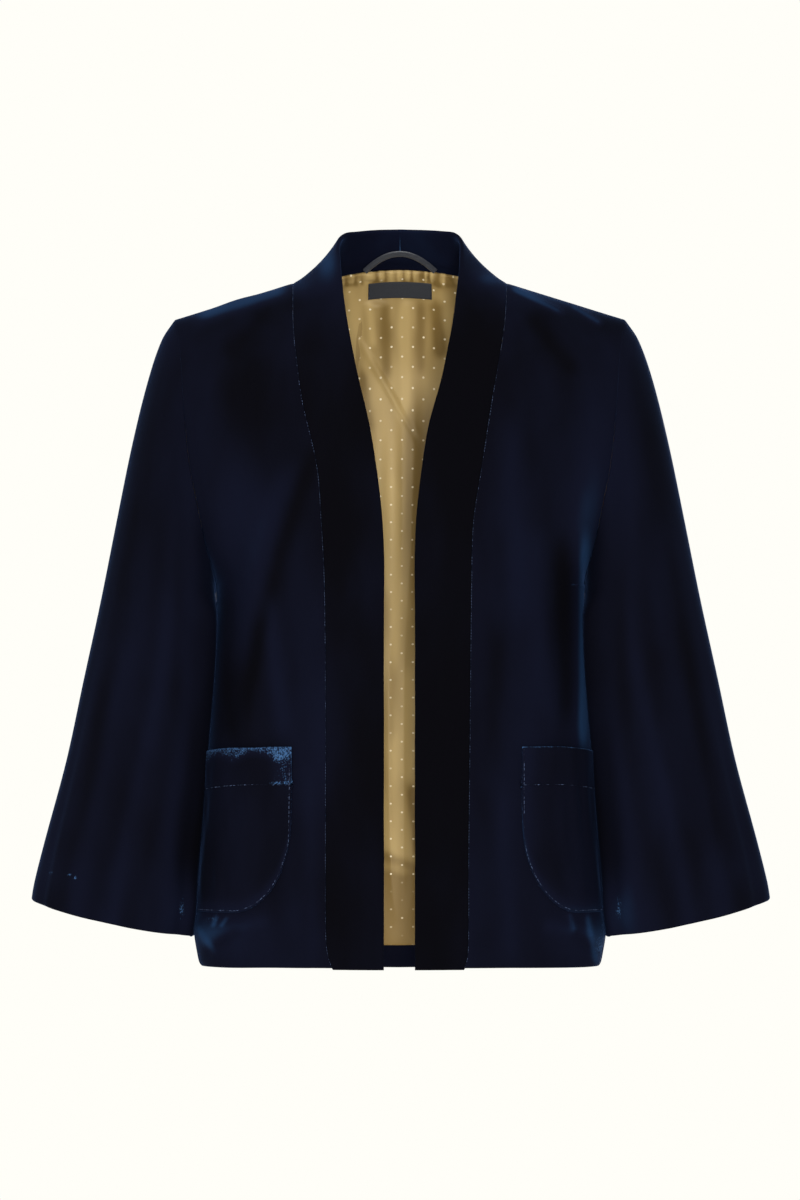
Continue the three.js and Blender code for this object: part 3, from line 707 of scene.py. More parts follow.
class Nodes:
    """Short calls that fill a material's node tree."""

    def __init__(self, name: str) -> None:
        """Starts an empty material with a principled shader."""
        self.material = bpy.data.materials.new(name)
        self.material.use_nodes = True
        self.tree = self.material.node_tree
        self.shader = self.tree.nodes["Principled BSDF"]

    def add(self, kind: str, inputs: dict, **settings: object) -> bpy.types.Node:
        """Adds a node, with settings, and values or links on its inputs."""
        made = self.tree.nodes.new(kind)
        for key, value in settings.items():
            setattr(made, key, value)
        for key, value in inputs.items():
            self.put(made.inputs[key], value)
        return made

    def put(self, socket: Socket, value: object) -> None:
        """Links a socket to another, or sets its value."""
        if isinstance(value, Socket):
            self.tree.links.new(value, socket)
        elif isinstance(value, tuple) and len(value) == 3 and socket.type == "RGBA":
            socket.default_value = (*value, 1)
        else:
            socket.default_value = value

    def math(self, operation: str, a: object, b: object = 0.0) -> Socket:
        """The result of a sum on two numbers."""
        return self.add("ShaderNodeMath", {0: a, 1: b}, operation=operation).outputs[0]

    def times(self, a: object, b: object) -> Socket:
        """The product of two numbers."""
        return self.math("MULTIPLY", a, b)

    def plus(self, a: object, b: object) -> Socket:
        """The sum of two numbers."""
        return self.math("ADD", a, b)

    def blend(self, factor: object, a: object, b: object) -> Socket:
        """A colour between two colours."""
        made = self.add("ShaderNodeMix", {0: factor, 6: a, 7: b}, data_type="RGBA")
        return made.outputs[2]

    def ramp(self, value: object, low: float, high: float) -> Socket:
        """0 below low, 1 above high and an S curve between."""
        inputs = {"Value": value, "From Min": low, "From Max": high}
        made = self.add("ShaderNodeMapRange", inputs, interpolation_type="SMOOTHSTEP")
        return made.outputs["Result"]

    def kept(self, label: str) -> Socket:
        """A number that the mesh keeps at each of its points."""
        return self.add("ShaderNodeAttribute", {}, attribute_name=label).outputs["Fac"]

    def flat_place(self) -> tuple[Socket, Socket]:
        """Place on the flat cloth in metres: across and along."""
        where = self.add("ShaderNodeUVMap", {}, uv_map="cloth").outputs["UV"]
        split = self.add("ShaderNodeSeparateXYZ", {"Vector": where})
        return split.outputs["X"], split.outputs["Y"]

    def place(self, stretch: tuple[float, float, float] = (1, 1, 1)) -> Socket:
        """Place on the object in metres, stretched along its axes."""
        where = self.add("ShaderNodeTexCoord", {}).outputs["Object"]
        return self.add("ShaderNodeMapping", {"Vector": where, "Scale": stretch}).outputs[0]

    def noise(self, place: object, scale: float, detail: float = 2) -> Socket:
        """Cloudy noise with a count of clouds to a metre."""
        inputs = {"Vector": place, "Scale": scale, "Detail": detail}
        return self.add("ShaderNodeTexNoise", inputs).outputs["Fac"]

    def bump(self, height: object, relief: Range, under: object = None) -> Socket:
        """A normal that is raised by a height, over another such normal.

        Args:
            height: the height, 0 to 1.
            relief: how strong the bump is, and its depth in metres.
            under: a normal that the bump is added to, if any.
        """
        strength, depth = relief
        inputs = {"Height": height, "Strength": strength, "Distance": depth}
        if under is not None:
            inputs["Normal"] = under
        return self.add("ShaderNodeBump", inputs).outputs[0]

    def finish(self, inputs: dict) -> Material:
        """Sets the shader's inputs and gives the material."""
        for key, value in inputs.items():
            self.put(self.shader.inputs[key], value)
        return self.material


@dataclass(frozen=True)
class Velvet:
    """Midnight-blue pile: near black where it stands, blue where it lies over or is crushed,
    with painted highlights in a light blue and painted shade towards near black.

    Ranges are the values between which one look gives way to the next. Clouds, specks and pile
    are counted to a metre, and a relief is the strength and depth of a bump.
    """

    name: str = "midnight_velvet"
    deep: Colour = (0.0016, 0.0015, 0.0025)
    lit: Colour = (0.0037, 0.0046, 0.0122)
    # Blue of the painted highlights: glows and sheen along edges, folds and the collar
    painted_highlight: Colour = (0.010, 0.028, 0.070)
    crushed: Colour = (0.040, 0.096, 0.205)
    lit_range: Range = (-0.15, 1.1)
    painted_highlight_range: Range = (0.9, 2.4)
    sheen: float = 0.07
    sheen_tint: Colour = (0.16, 0.34, 0.85)
    sheen_roughness: float = 0.3
    roughness: float = 0.9
    gloss: float = 0.02
    clouds: float = 13
    cloud_share: float = 1.5
    specks: float = 1050
    specks_a_patch: float = 6
    patch_share: float = 0.35
    torn_range: Range = (1.05, 1.30)
    rub_range: Range = (0.0, 0.25)
    speck_relief: Range = (0.12, 0.0008)
    pile: float = 2100
    pile_relief: Range = (0.25, 0.0004)

    def material(self) -> Material:
        """The nap attribute, with its painted highlights and painted shade, and clouds pick the blue;
        the rub attribute brings out specks.
        """
        nodes = Nodes(self.name)
        cloud = nodes.math("SUBTRACT", nodes.noise(nodes.place((1, 1, 0.4)), self.clouds, 3), 0.5)
        # The nap attribute carries painted highlights and painted shade
        lie_and_painted_light = nodes.plus(nodes.kept("nap"), nodes.times(cloud, self.cloud_share))
        base = nodes.blend(nodes.ramp(lie_and_painted_light, *self.lit_range), self.deep, self.lit)
        # Painted highlights, where the nap attribute rises above 1
        base = nodes.blend(nodes.ramp(lie_and_painted_light, *self.painted_highlight_range), base, self.painted_highlight)
        speck = nodes.noise(nodes.place((1, 1, 0.7)), self.specks, 3)
        patch = nodes.noise(nodes.place(), self.specks / self.specks_a_patch, 2)
        rub = nodes.kept("rub")
        torn = nodes.plus(speck, nodes.times(patch, self.patch_share))
        shown = nodes.ramp(nodes.plus(torn, rub), *self.torn_range)
        shown = nodes.times(shown, nodes.ramp(rub, *self.rub_range))
        pile = nodes.bump(nodes.noise(nodes.place(), self.pile, 1), self.pile_relief)
        return nodes.finish({
            "Base Color": nodes.blend(shown, base, self.crushed),
            "Roughness": self.roughness,
            "Specular IOR Level": self.gloss,
            "Sheen Weight": self.sheen,
            "Sheen Roughness": self.sheen_roughness,
            "Sheen Tint": self.sheen_tint,
            "Normal": nodes.bump(speck, self.speck_relief, pile),
        })


@dataclass(frozen=True)
class DottedSatin:
    """Old-gold satin with small cream dots in columns, every other column half a step down.

    Steps and sizes of the dots are in millimetres. Bands, threads and gleams are counted to a
    metre.
    """

    name: str = "dotted_satin"
    gold: Colour = (0.455, 0.320, 0.125)
    shade: Colour = (0.175, 0.108, 0.030)
    cream: Colour = (0.78, 0.68, 0.46)
    column_step: float = 9.5
    row_step: float = 15.5
    dot_half_width: float = 0.95
    dot_half_height: float = 0.8
    dot_edge: Range = (0.7, 1.35)
    roughness: float = 0.46
    gloss: float = 0.3
    gloss_tint: Colour = (1.0, 0.84, 0.58)
    sheen: float = 0.06
    sheen_tint: Colour = (1.0, 0.86, 0.6)
    # Soft bands of painted shade, counted to a metre
    bands: float = 26
    painted_fold_shade_share: float = 0.5
    shade_range: Range = (0.3, 0.7)
    threads: float = 1500
    thread_share: float = 0.22
    gleams: float = 60
    gleam_range: Range = (0.3, 0.6)
    least_gleam: float = 0.4
    painted_fold_shade_range: Range = (-0.45, 0.3)
    thread_relief: Range = (0.1, 0.0003)
    dot_relief: Range = (0.25, 0.0003)

    def dots(self, nodes: Nodes) -> Socket:
        """1 on a dot: the distance to the nearest lattice point, as an oval."""
        x, y = nodes.flat_place()
        across = nodes.math("DIVIDE", x, self.column_step * MM)
        odd = nodes.times(nodes.math("FLOORED_MODULO", nodes.math("FLOOR", across), 2.0), 0.5)
        along = nodes.plus(nodes.math("DIVIDE", y, self.row_step * MM), odd)
        sides = []
        for value, step, half in (
            (across, self.column_step, self.dot_half_width),
            (along, self.row_step, self.dot_half_height),
        ):
            off = nodes.math("SUBTRACT", nodes.math("FRACT", value), 0.5)
            sides.append(nodes.math("POWER", nodes.times(off, step / half), 2.0))
        return nodes.math("SUBTRACT", 1.0, nodes.ramp(nodes.plus(*sides), *self.dot_edge))

    def material(self) -> Material:
        """Soft bands of painted shade and fine threads vary the gold under the dots, some of which
        gleam less. The nap attribute adds the painted light and shade of folds, and the dots fade in
        that painted shade.
        """
        nodes = Nodes(self.name)
        nap = nodes.kept("nap")
        # Painted light and shade of the folds, from the nap attribute
        fold = nodes.times(nodes.math("SUBTRACT", nap, 0.5), self.painted_fold_shade_share)
        band = nodes.plus(nodes.noise(nodes.place((1, 1, 0.25)), self.bands, 2), fold)
        thread = nodes.noise(nodes.place((1, 1, 4)), self.threads, 2)
        cloth = nodes.blend(nodes.ramp(band, *self.shade_range), self.shade, self.gold)
        cloth = nodes.blend(nodes.times(thread, self.thread_share), cloth, self.shade)
        gleam = nodes.ramp(nodes.noise(nodes.place(), self.gleams, 2), *self.gleam_range)
        gleam = nodes.plus(nodes.times(gleam, 1 - self.least_gleam), self.least_gleam)
        # Dots fade in the painted shade of folds
        gleam = nodes.times(gleam, nodes.ramp(nap, *self.painted_fold_shade_range))
        dots = nodes.times(self.dots(nodes), gleam)
        return nodes.finish({
            "Base Color": nodes.blend(dots, cloth, self.cream),
            "Roughness": self.roughness,
            "Specular IOR Level": self.gloss,
            "Specular Tint": self.gloss_tint,
            "Sheen Weight": self.sheen,
            "Sheen Tint": self.sheen_tint,
            "Normal": nodes.bump(dots, self.dot_relief, nodes.bump(thread, self.thread_relief)),
        })


@dataclass(frozen=True)
class WovenTrim:
    """Closely woven trim, such as a ribbon, a label or a thread, with fine ribs across it.

    Ribs, grains and dull patches are counted to a metre.
    """

    name: str
    ground: Colour
    rib: Colour
    ribs: float
    roughness: float
    gloss: float
    sheen: float = 0.1
    grains: float = 900
    patches: float = 0.0
    patch_range: Range = (0.42, 0.6)
    relief: Range = (0.3, 0.0003)

    def material(self) -> Material:
        """Ribs by the distance along the piece, broken by a little noise and dull patches."""
        nodes = Nodes(self.name)
        along = nodes.flat_place()[1]
        wave = nodes.math("SINE", nodes.times(along, 2 * math.pi * self.ribs))
        wave = nodes.plus(nodes.times(wave, 0.5), 0.5)
        both = nodes.times(wave, nodes.noise(nodes.place(), self.grains, 3))
        # On the thread, dull patches break up the painted glints of its light ribs
        if self.patches:
            patch = nodes.noise(nodes.place(), self.patches)
            both = nodes.times(both, nodes.ramp(patch, *self.patch_range))
        return nodes.finish({
            "Base Color": nodes.blend(both, self.ground, self.rib),
            "Roughness": self.roughness,
            "Specular IOR Level": self.gloss,
            "Sheen Weight": self.sheen,
            "Normal": nodes.bump(both, self.relief),
        })


SATIN = DottedSatin()
RIBBON = WovenTrim(
    "grey_ribbon", (0.022, 0.024, 0.030), (0.062, 0.066, 0.078), ribs=900, roughness=0.36, gloss=0.5
)
LABEL_WEAVE = WovenTrim(
    "charcoal_weave", (0.011, 0.0125, 0.016), (0.035, 0.037, 0.043), ribs=1300, roughness=0.7,
    gloss=0.3,
)
# The thread is dark navy; its light blue ribs are painted glints of the stitches
THREAD = WovenTrim(
    "blue_thread", (0.003, 0.004, 0.010), (0.20, 0.28, 0.50), ribs=1600, roughness=0.8, gloss=0.05,
    sheen=0.0, patches=190,
)


@dataclass
class Finishes:
    """The materials that the pieces share, made once."""

    velvet: Material
    satin: Material
    ribbon: Material
    label: Material
    thread: Material

    @classmethod
    def made(cls) -> Finishes:
        """Makes all the materials."""
        finishes = (Velvet(), SATIN, RIBBON, LABEL_WEAVE, THREAD)
        return cls(*(finish.material() for finish in finishes))


@dataclass(frozen=True)
class Cut:
    """The flat cut of a piece as shown: its width, length and area, and how it is held."""

    width: float
    length: float
    area: float
    held: str
    rests_on: tuple[str, ...] = ()


def place_piece(
    mesh: Mesh,
    materials: list[Material],
    node: str | None = None,
) -> bpy.types.Object:
    """Puts a piece into the scene and ties it to the frame.

    Args:
        mesh: the finished mesh, with its place in it; its name becomes the piece's.
        materials: its materials, in the order of its slots.
        node: the solid that the piece stands for, if any.

    Returns:
        The piece.
    """
    piece = bpy.data.objects.new(mesh.name, mesh)
    bpy.context.scene.collection.objects.link(piece)
    for material in materials:
        mesh.materials.append(material)
    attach(piece, BODY)
    if node:
        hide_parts(node)
    size = np.ptp(np.array(piece.bound_box), axis=0).round(4) / MM
    LOG.info("%s: %s faces, %s mm", piece.name, len(mesh.polygons), size)
    return piece


# Pieces


@dataclass(frozen=True)
class Seamstress:
    """Rows of small stitches, each a short thread that dips in at both ends."""

    length: float = 3.0
    gap: float = 1.1
    radius: float = 0.27
    sides: int = 6
    rings: int = 5
    rise: float = 0.45
    end_size: float = 0.6

    def mesh(self, name: str, path: Array, normals: Array) -> Mesh:
        """Stitches along a path on cloth.

        Each is a short tube along the path: rings of a small circle whose centre rises over
        the cloth as half a sine, closed by a flat face at both ends.

        Args:
            name: the mesh's name.
            path: points along the row of stitches, in millimetres.
            normals: the cloth's normals there.
        """
        step = np.linalg.norm(np.diff(path, axis=0), axis=1)
        run = np.concatenate([[0], np.cumsum(step)])
        count = int(run[-1] // (self.length + self.gap))
        starts = np.arange(count)[:, None] * (self.length + self.gap) + self.gap / 2
        t = np.linspace(0, 1, self.rings)
        at = starts + t * self.length
        centre = np.stack([np.interp(at, run, path[:, k]) for k in range(3)], axis=-1)
        up = unit(np.stack([np.interp(at, run, normals[:, k]) for k in range(3)], axis=-1))
        centre = centre + up * (self.rise * self.radius * np.sin(math.pi * t))[None, :, None]
        forward = unit(np.gradient(centre, axis=1))
        aside = np.cross(up, forward)
        turn = 2 * math.pi * np.arange(self.sides) / self.sides
        size = np.full((self.rings, 1, 1), self.radius)
        size[[0, -1]] *= self.end_size
        ring = np.cos(turn)[:, None] * aside[:, :, None] + np.sin(turn)[:, None] * up[:, :, None]
        points = (centre[:, :, None] + ring * size).reshape(-1, 3) * MM
        k, r, c = (i.ravel() for i in np.indices((count, self.rings - 1, self.sides)))

        def corner(ring_row: Array, side: Array) -> Array:
            """Index of a corner of a stitch."""
            return (k * self.rings + ring_row) * self.sides + side % self.sides

        walls = np.stack([corner(r, c), corner(r, c + 1), corner(r + 1, c + 1), corner(r + 1, c)], 1)
        first = np.arange(count)[:, None] * self.rings * self.sides
        last = first + (self.rings - 1) * self.sides
        ends = np.array([[0, 1, 2, 3], [0, 3, 4, 5]])
        caps = [first + end[::-1] for end in ends] + [last + end for end in ends]
        faces = np.concatenate([walls, *caps])
        along = np.repeat(at.ravel(), self.sides) * MM
        place = np.stack([along, along], axis=-1)
        return mesh_of(name, points, faces, place[faces], np.zeros(len(faces)))


SEAM_STITCH = Seamstress(length=1.5, gap=1.0, radius=0.2)
LABEL_STITCH = Seamstress(length=1.6, gap=0.9, radius=0.2)
POCKET_STITCH = Seamstress()


# Folds, marks and measures that the pieces share


BODY_MIDDLE = (0, 0, -200)
NECK_MIDDLE = (0, 0, -60)
FOLD_FADE = 0.15
PANEL_WALL = 2.0
PANEL_TURN = 1.5
CENTRE_FINE = (0.004, 0.010, 0.018, 0.028)
SIDE_FINE = (0.002, 0.005, 0.009, 0.014)


def creases(*rows: tuple[float, ...]) -> tuple[Crease, ...]:
    """Creases from rows of their measures."""
    return tuple(Crease(*row) for row in rows)


def marks(*rows: tuple[float, ...]) -> tuple[Mark, ...]:
    """Marks from rows of their measures."""
    return tuple(Mark(*row) for row in rows)


# Largest folds of the fronts and the back, the same as on the solids
LARGE_FOLDS = {
    Face.FRONT: creases(
        (-116, -300, -129, -405, 13, 4), (-150, -120, -138, -330, 14, -3),
        (125, -20, 158, -75, 11, 3), (152, -190, 154, -410, 11, 3),
    ),
    Face.BACK: creases(
        (-70, -190, -88, -570, 20, 5), (64, -210, 82, -560, 18, 5), (4, -300, -6, -580, 22, -4),
    ),
}

# Smaller creases of the fronts: drag lines at the shoulders, soft folds and puckers at the hem.
# Their nap is painted highlight on the ridges and painted shade in the troughs; those with no
# height are painted highlights only, along the right shoulder and the right side.
FRONT_CREASES = {
    Side.LEFT: creases(
        (-98, -5, -176, -29, 7, 0.8, 1.7), (-112, -24, -150, -64, 9, -0.8, -0.2),
        (-71, -145, -133, -363, 8, -1.6, -0.38, 6), (-96, -165, -142, -330, 12, 1.2, 0.35, 6),
        (-113, -276, -101, -392, 8, 1.2, 0.4), (-152, -270, -146, -395, 9, -1.0, -0.4),
        (-104, -420, -92, -560, 9, 1.3, 0.2), (-78, -430, -74, -585, 8, 1.2, 0.2),
        (-116, -552, -166, -564, 6, 1.6, 0.35), (-140, -560, -172, -584, 5, -1.6, -0.3),
        (-160, -580, -178, -558, 3, 1.2, 0.7), (-158, -548, -162, -558, 2, 1.0, 0.9),
        (-149, -549, -155, -558, 2, 0.8, 0.7),
    ),
    Side.RIGHT: creases(
        (98, -5, 140, -27, 3, 1.0, 1.2), (149, -20, 174, -36, 3, 1.0, 1.2),
        (98, -3, 150, -19, 5, 0, 0.7), (112, -30, 150, -80, 8, -1.0, -0.3),
        (96, -120, 104, -290, 12, 1.2, 0.35), (84, -300, 80, -420, 9, -1.2, -0.25),
        (120, -220, 132, -380, 10, 1.4, 0.25, 4), (140, -230, 146, -380, 8, -1.0, -0.35),
        (160, -228, 159, -404, 5, 0, 1.5), (157, -190, 156, -400, 11, 0, 0.5),
        (88, -440, 96, -588, 9, 1.3, 0.3), (126, -556, 170, -566, 6, 1.6, 0.3),
        (150, -562, 176, -582, 5, -1.6, -0.3), (146, -546, 151, -562, 2.5, 1.0, 0.5),
        (162, -548, 170, -590, 3, 1.0, 0.8),
    ),
}

# Painted light on the fronts: glows near the armholes and at the sides of the hem, a softer one
# over the right pocket, and soft painted shade high on the chest
FRONT_PAINTED_LIGHT = {
    Side.LEFT: marks(
        (-135, -202, 24, 55, 0.5), (-122, -85, 40, 60, -0.14), (-150, -568, 34, 22, 0.42),
        (-170, -566, 12, 20, 0.95),
    ),
    Side.RIGHT: marks(
        (166, -195, 14, 50, 0.6), (118, -110, 30, 70, -0.16), (110, -450, 50, 90, 0.2),
        (158, -568, 28, 22, 0.32), (175, -572, 8, 24, 0.7),
    ),
}

# Where the pile of the fronts is crushed
FRONT_RUBS = {
    Side.LEFT: marks((-162, -552, 14, 4, 0.36), (-177, -580, 4, 9, 0.25)),
    Side.RIGHT: marks((173, -577, 6, 15, 0.42), (177, -556, 4, 16, 0.3)),
}

# Painted highlights on the band beside the neck, where it stands up as a collar
BAND_PAINTED_HIGHLIGHTS = {
    Side.LEFT: marks((-63, 18, 11, 20, 1.6), (-86, -3, 14, 10, 0.8)),
    Side.RIGHT: marks((77, 4, 13, 9, 1.1), (92, -8, 12, 10, 0.4)),
}

# Creases of the back; their nap is painted highlight on the ridges and painted shade in the troughs, and
# the two with no height paint the light and shade of two large folds
BACK_CREASES = creases(
    (-150, -60, -120, -200, 12, 2.2, 0.35), (148, -70, 122, -210, 12, 2.2, 0.35),
    (-30, -20, -44, -150, 12, -1.6, -0.3, 4), (36, -30, 40, -170, 10, 1.5, 0.25),
    (-118, -330, -134, -560, 10, 1.6, 0.3, 4), (112, -360, 138, -580, 11, -1.7, -0.35),
    (30, -380, 42, -585, 10, 1.6, 0.3), (-40, -430, -34, -590, 9, 1.4, 0.25),
    (-130, -255, -168, -300, 6, 1.4, 0.4), (132, -250, 166, -310, 6, 1.4, 0.4),
    (-70, -190, -88, -570, 14, 0, 0.4), (4, -300, -6, -580, 14, 0, -0.3),
)

# Painted light on the back: glows at the sides of the hem, and softer lighter and darker places
BACK_PAINTED_LIGHT = marks(
    (-60, -120, 60, 60, -0.2), (70, -260, 40, 90, 0.3), (-164, -566, 26, 20, 0.7),
    (160, -560, 30, 22, 0.7), (-100, -420, 40, 90, 0.2),
)

BACK_RUBS = marks((-172, -560, 8, 12, 0.3), (170, -556, 10, 8, 0.3))

# Folds of the lining drawn only as painted light and painted shade on its gold, with no height
LINING_FOLDS = creases(
    (33, -12, 37, -60, 6, 0, -0.55), (-33, -75, -27, -125, 4, 0, -0.35),
    (4, -12, 5, -110, 5, 0, 0.4), (-14, -12, -12, -80, 5, 0, -0.35),
    (18, -12, 19, -75, 4.5, 0, -0.3), (-27, -14, -24, -50, 3, 0, 0.35),
    (10, -440, 15, -500, 4, 0, -0.6), (-16, -500, 16, -512, 5, 0, -0.4),
    (-6, -180, -4, -330, 5, 0, 0.4), (8, -340, 6, -430, 5, 0, 0.35),
    (-3, -400, -3, -505, 10, 0, 0.32),
)

# Dabs of crushed pile near the left cuff, in front
CUFF_DABS = marks(
    (-302, -511, 2.6, 1.8, 0.72), (-296.5, -512, 1.8, 1.6, 0.66), (-290.5, -513.5, 1.5, 1.3, 0.8),
    (-286, -513, 1.9, 1.2, 0.75), (-281, -514.5, 1.5, 1.8, 0.75),
)


# Folds and creases of a sleeve: the angle round it, the share of its length where each starts,
# its width in degrees and its height
SLEEVE_FOLDS = (
    (62, 0.35, 16, 4), (92, 0.45, 12, -3), (118, 0.25, 18, 4), (245, 0.3, 18, 5), (295, 0.4, 16, 4),
)
SLEEVE_CREASES = (
    (38, 0.3, 7, 1.6), (50, 0.6, 5, -1.3), (77, 0.62, 6, 1.8), (104, 0.3, 6, -1.4), (135, 0.5, 8, 1.6),
    (148, 0.2, 7, -1.1), (212, 0.45, 9, 1.8), (228, 0.6, 6, -1.4), (268, 0.35, 8, -1.8),
    (318, 0.5, 8, 1.6),
)

# Streaks on a sleeve, in the same way, with what each adds to the nap in place of its height:
# lighter and darker streaks along it, and painted shade either side of the underarm, by the body
SLEEVE_STREAKS = (
    (16, 0.05, 20, -0.65), (47, 0.1, 8, -0.2), (60, 0.35, 7, 0.35), (76, 0.1, 7, -0.35),
    (90, 0.2, 6, 0.35), (101, 0.05, 8, -0.25), (116, 0.3, 7, 0.3), (131, 0.1, 9, -0.3),
    (152, 0.1, 12, 0.3), (172, 0.02, 10, 0.45), (198, 0.05, 14, -0.3), (222, 0.3, 10, 0.35),
    (243, 0.1, 9, -0.3), (262, 0.3, 8, 0.35), (284, 0.1, 10, -0.3), (306, 0.4, 9, 0.3),
    (344, 0.05, 20, -0.6),
)


def rise_of(folds: tuple[Crease, ...], x: Array, z: Array) -> Array:
    """Sum of the heights of creases at a place."""
    return sum(fold.height * fold.at(x, z) for fold in folds)


def painted_light_of(folds: tuple[Crease, ...], spots: tuple[Mark, ...], x: Array, z: Array) -> Array:
    """Sum of what creases and marks add to the nap at a place: painted highlights and painted shade."""
    return sum(fold.nap * fold.at(x, z) for fold in folds) + sum_of(spots, x, z)


def sum_of(spots: tuple[Mark, ...], x: Array, z: Array) -> Array | float:
    """Sum of the strengths of marks at a place."""
    return sum(spot.at(x, z) for spot in spots)


def worn(runs: tuple[Array, ...], *borders: tuple[Border, float, float]) -> Array:
    """Crushed pile along the borders of a cloth.

    Args:
        runs: distances from the four borders.
        borders: a border, how far its pile is crushed, and how wide the worn line is.
    """
    return sum(strength * near(runs[border], width) for border, strength, width in borders)


def panel_wall(row: Array) -> Array:
    """Thickness of a panel, whose hem is turned up to row 1."""
    return PANEL_WALL + PANEL_TURN * near(row - 1, 0.04)


def folds_at(face: Face, x: Array, z: Array, share: Array, row: Array, cut: BodyCut) -> Array:
    """Height of a face's large folds, which fade out at its seams.

    Args:
        face: the face of the body.
        x, z: places on it.
        share: their share of the width from seam to seam.
        row: their rows.
        cut: the cut of the body.
    """
    sides = smooth(share / FOLD_FADE) * smooth((1 - share) / FOLD_FADE)
    return rise_of(LARGE_FOLDS[face], x, z) * sides * smooth((cut.top_row - row) / 3)


@dataclass
class FrontPanel:
    """One front, from the band seam to the side and armhole seams, hem to shoulder."""

    side: Side
    cut: BodyCut
    columns: int = 58
    swell: float = 0.7
    calm_share: float = 0.08
    sheet: Cut = Cut(168, 612, 0.089, "hung", ("back_cloth",))

    def flat(self, row: Array, share: Array) -> Array:
        """Points on the plain front.

        Height follows the row. X is spaced evenly along the oval below, and evenly along the
        shoulder seam at the top. Y follows the body's oval.

        Args:
            row: rows up the cloth.
            share: share of the width, from the band seam.
        """
        cut, face = self.cut, Face.FRONT
        neck, tip = cut.neck_half_width, cut.shoulder_half_width
        top_x = mix(neck, tip, share)
        hem = HEM.read(mix(cut.hem_inner_x, cut.hem_outer_x, share), face.label)
        z = cut.row_height(row, hem, cut.top_height(face, top_x))
        top = cut.towards_top(row)
        seam = BAND_SEAM.read(z, self.side.label)
        x = mix(cut.across_at(face, z, seam, share), top_x, top)
        inner = BAND_SEAM.read(cut.end_height(row, face, cut.hem_inner_x, neck), self.side.label)
        outer = BODY_WIDTH.read(cut.end_height(row, face, cut.hem_outer_x, tip), "x")
        x = x + top * ((inner - neck) * (1 - share) ** 2 + (outer - tip) * share**2)
        return grid_of(self.side.sign * x, cut.cloth_y(face, x, z) - cut.seam_gap / 2, z)

    def cloth(self, row: Array, share: Array) -> tuple[Array, Array]:
        """Points and normals of the front with its folds, creases and low swell."""
        plain = self.flat(row, share)
        normals = normals_of(plain, BODY_MIDDLE)
        x, z = plain[..., 0], plain[..., 2]
        height = folds_at(Face.FRONT, x, z, share, row, self.cut)
        calm = smooth(share / self.calm_share) * smooth((1 - share) / self.calm_share)
        calm = calm * smooth((self.cut.top_row - row) / 0.5)
        small = rise_of(FRONT_CREASES[self.side], x, z)
        small = small + Ripple(11 + self.side.index, self.swell, 45, 150).at(x, z * 0.35)
        points = plain + normals * (height + small * calm)[..., None]
        return points, normals_of(points, BODY_MIDDLE)

    def rub(self, points: Array) -> Array:
        """Where the pile is crushed: a thin line at the seams and the hem, and the marks."""
        lines = worn(
            border_runs(points), (Border.START, 0.3, 1.1), (Border.END, 0.12, 2),
            (Border.FOOT, 0.25, 2), (Border.TOP, 0.12, 3),
        )
        return lines + sum_of(FRONT_RUBS[self.side], points[..., 0], points[..., 2])

    def nap(self, points: Array) -> Array:
        """How blue the pile looks: painted highlights and painted shade on creases and at the marks."""
        x, z = points[..., 0], points[..., 2]
        return 0.5 + painted_light_of(FRONT_CREASES[self.side], FRONT_PAINTED_LIGHT[self.side], x, z)

    def build(self, finishes: Finishes) -> None:
        """Makes the front, and the row of small stitches along its seam with the band."""
        share, row = np.meshgrid(spaced(self.columns, CENTRE_FINE), self.cut.fine_rows())
        points, normals = self.cloth(row, share)
        below = row[:, 0] <= self.cut.armpit_row
        normals[below, -1, 1] = 0
        normals[-1, :, 1] = 0
        cloth = Cloth(
            points, unit(normals), panel_wall(row), (THICK_FOLD, SEAM, SEAM, SHALLOW_SEAM),
            rub=self.rub(points), nap=self.nap(points),
            lined=lined_cells(points, row >= self.cut.hem_row),
        )
        name = f"front_{self.side.label}"
        looks = [finishes.velvet, finishes.satin]
        place_piece(cloth.mesh(f"{name}_cloth"), looks, name)
        path = mix(points[:, 0], points[:, 1], 0.3) - normals[:, 0] * 0.5
        stitches = SEAM_STITCH.mesh(f"{name}_seam_stitches", path, normals[:, 0])
        place_piece(stitches, [finishes.thread])


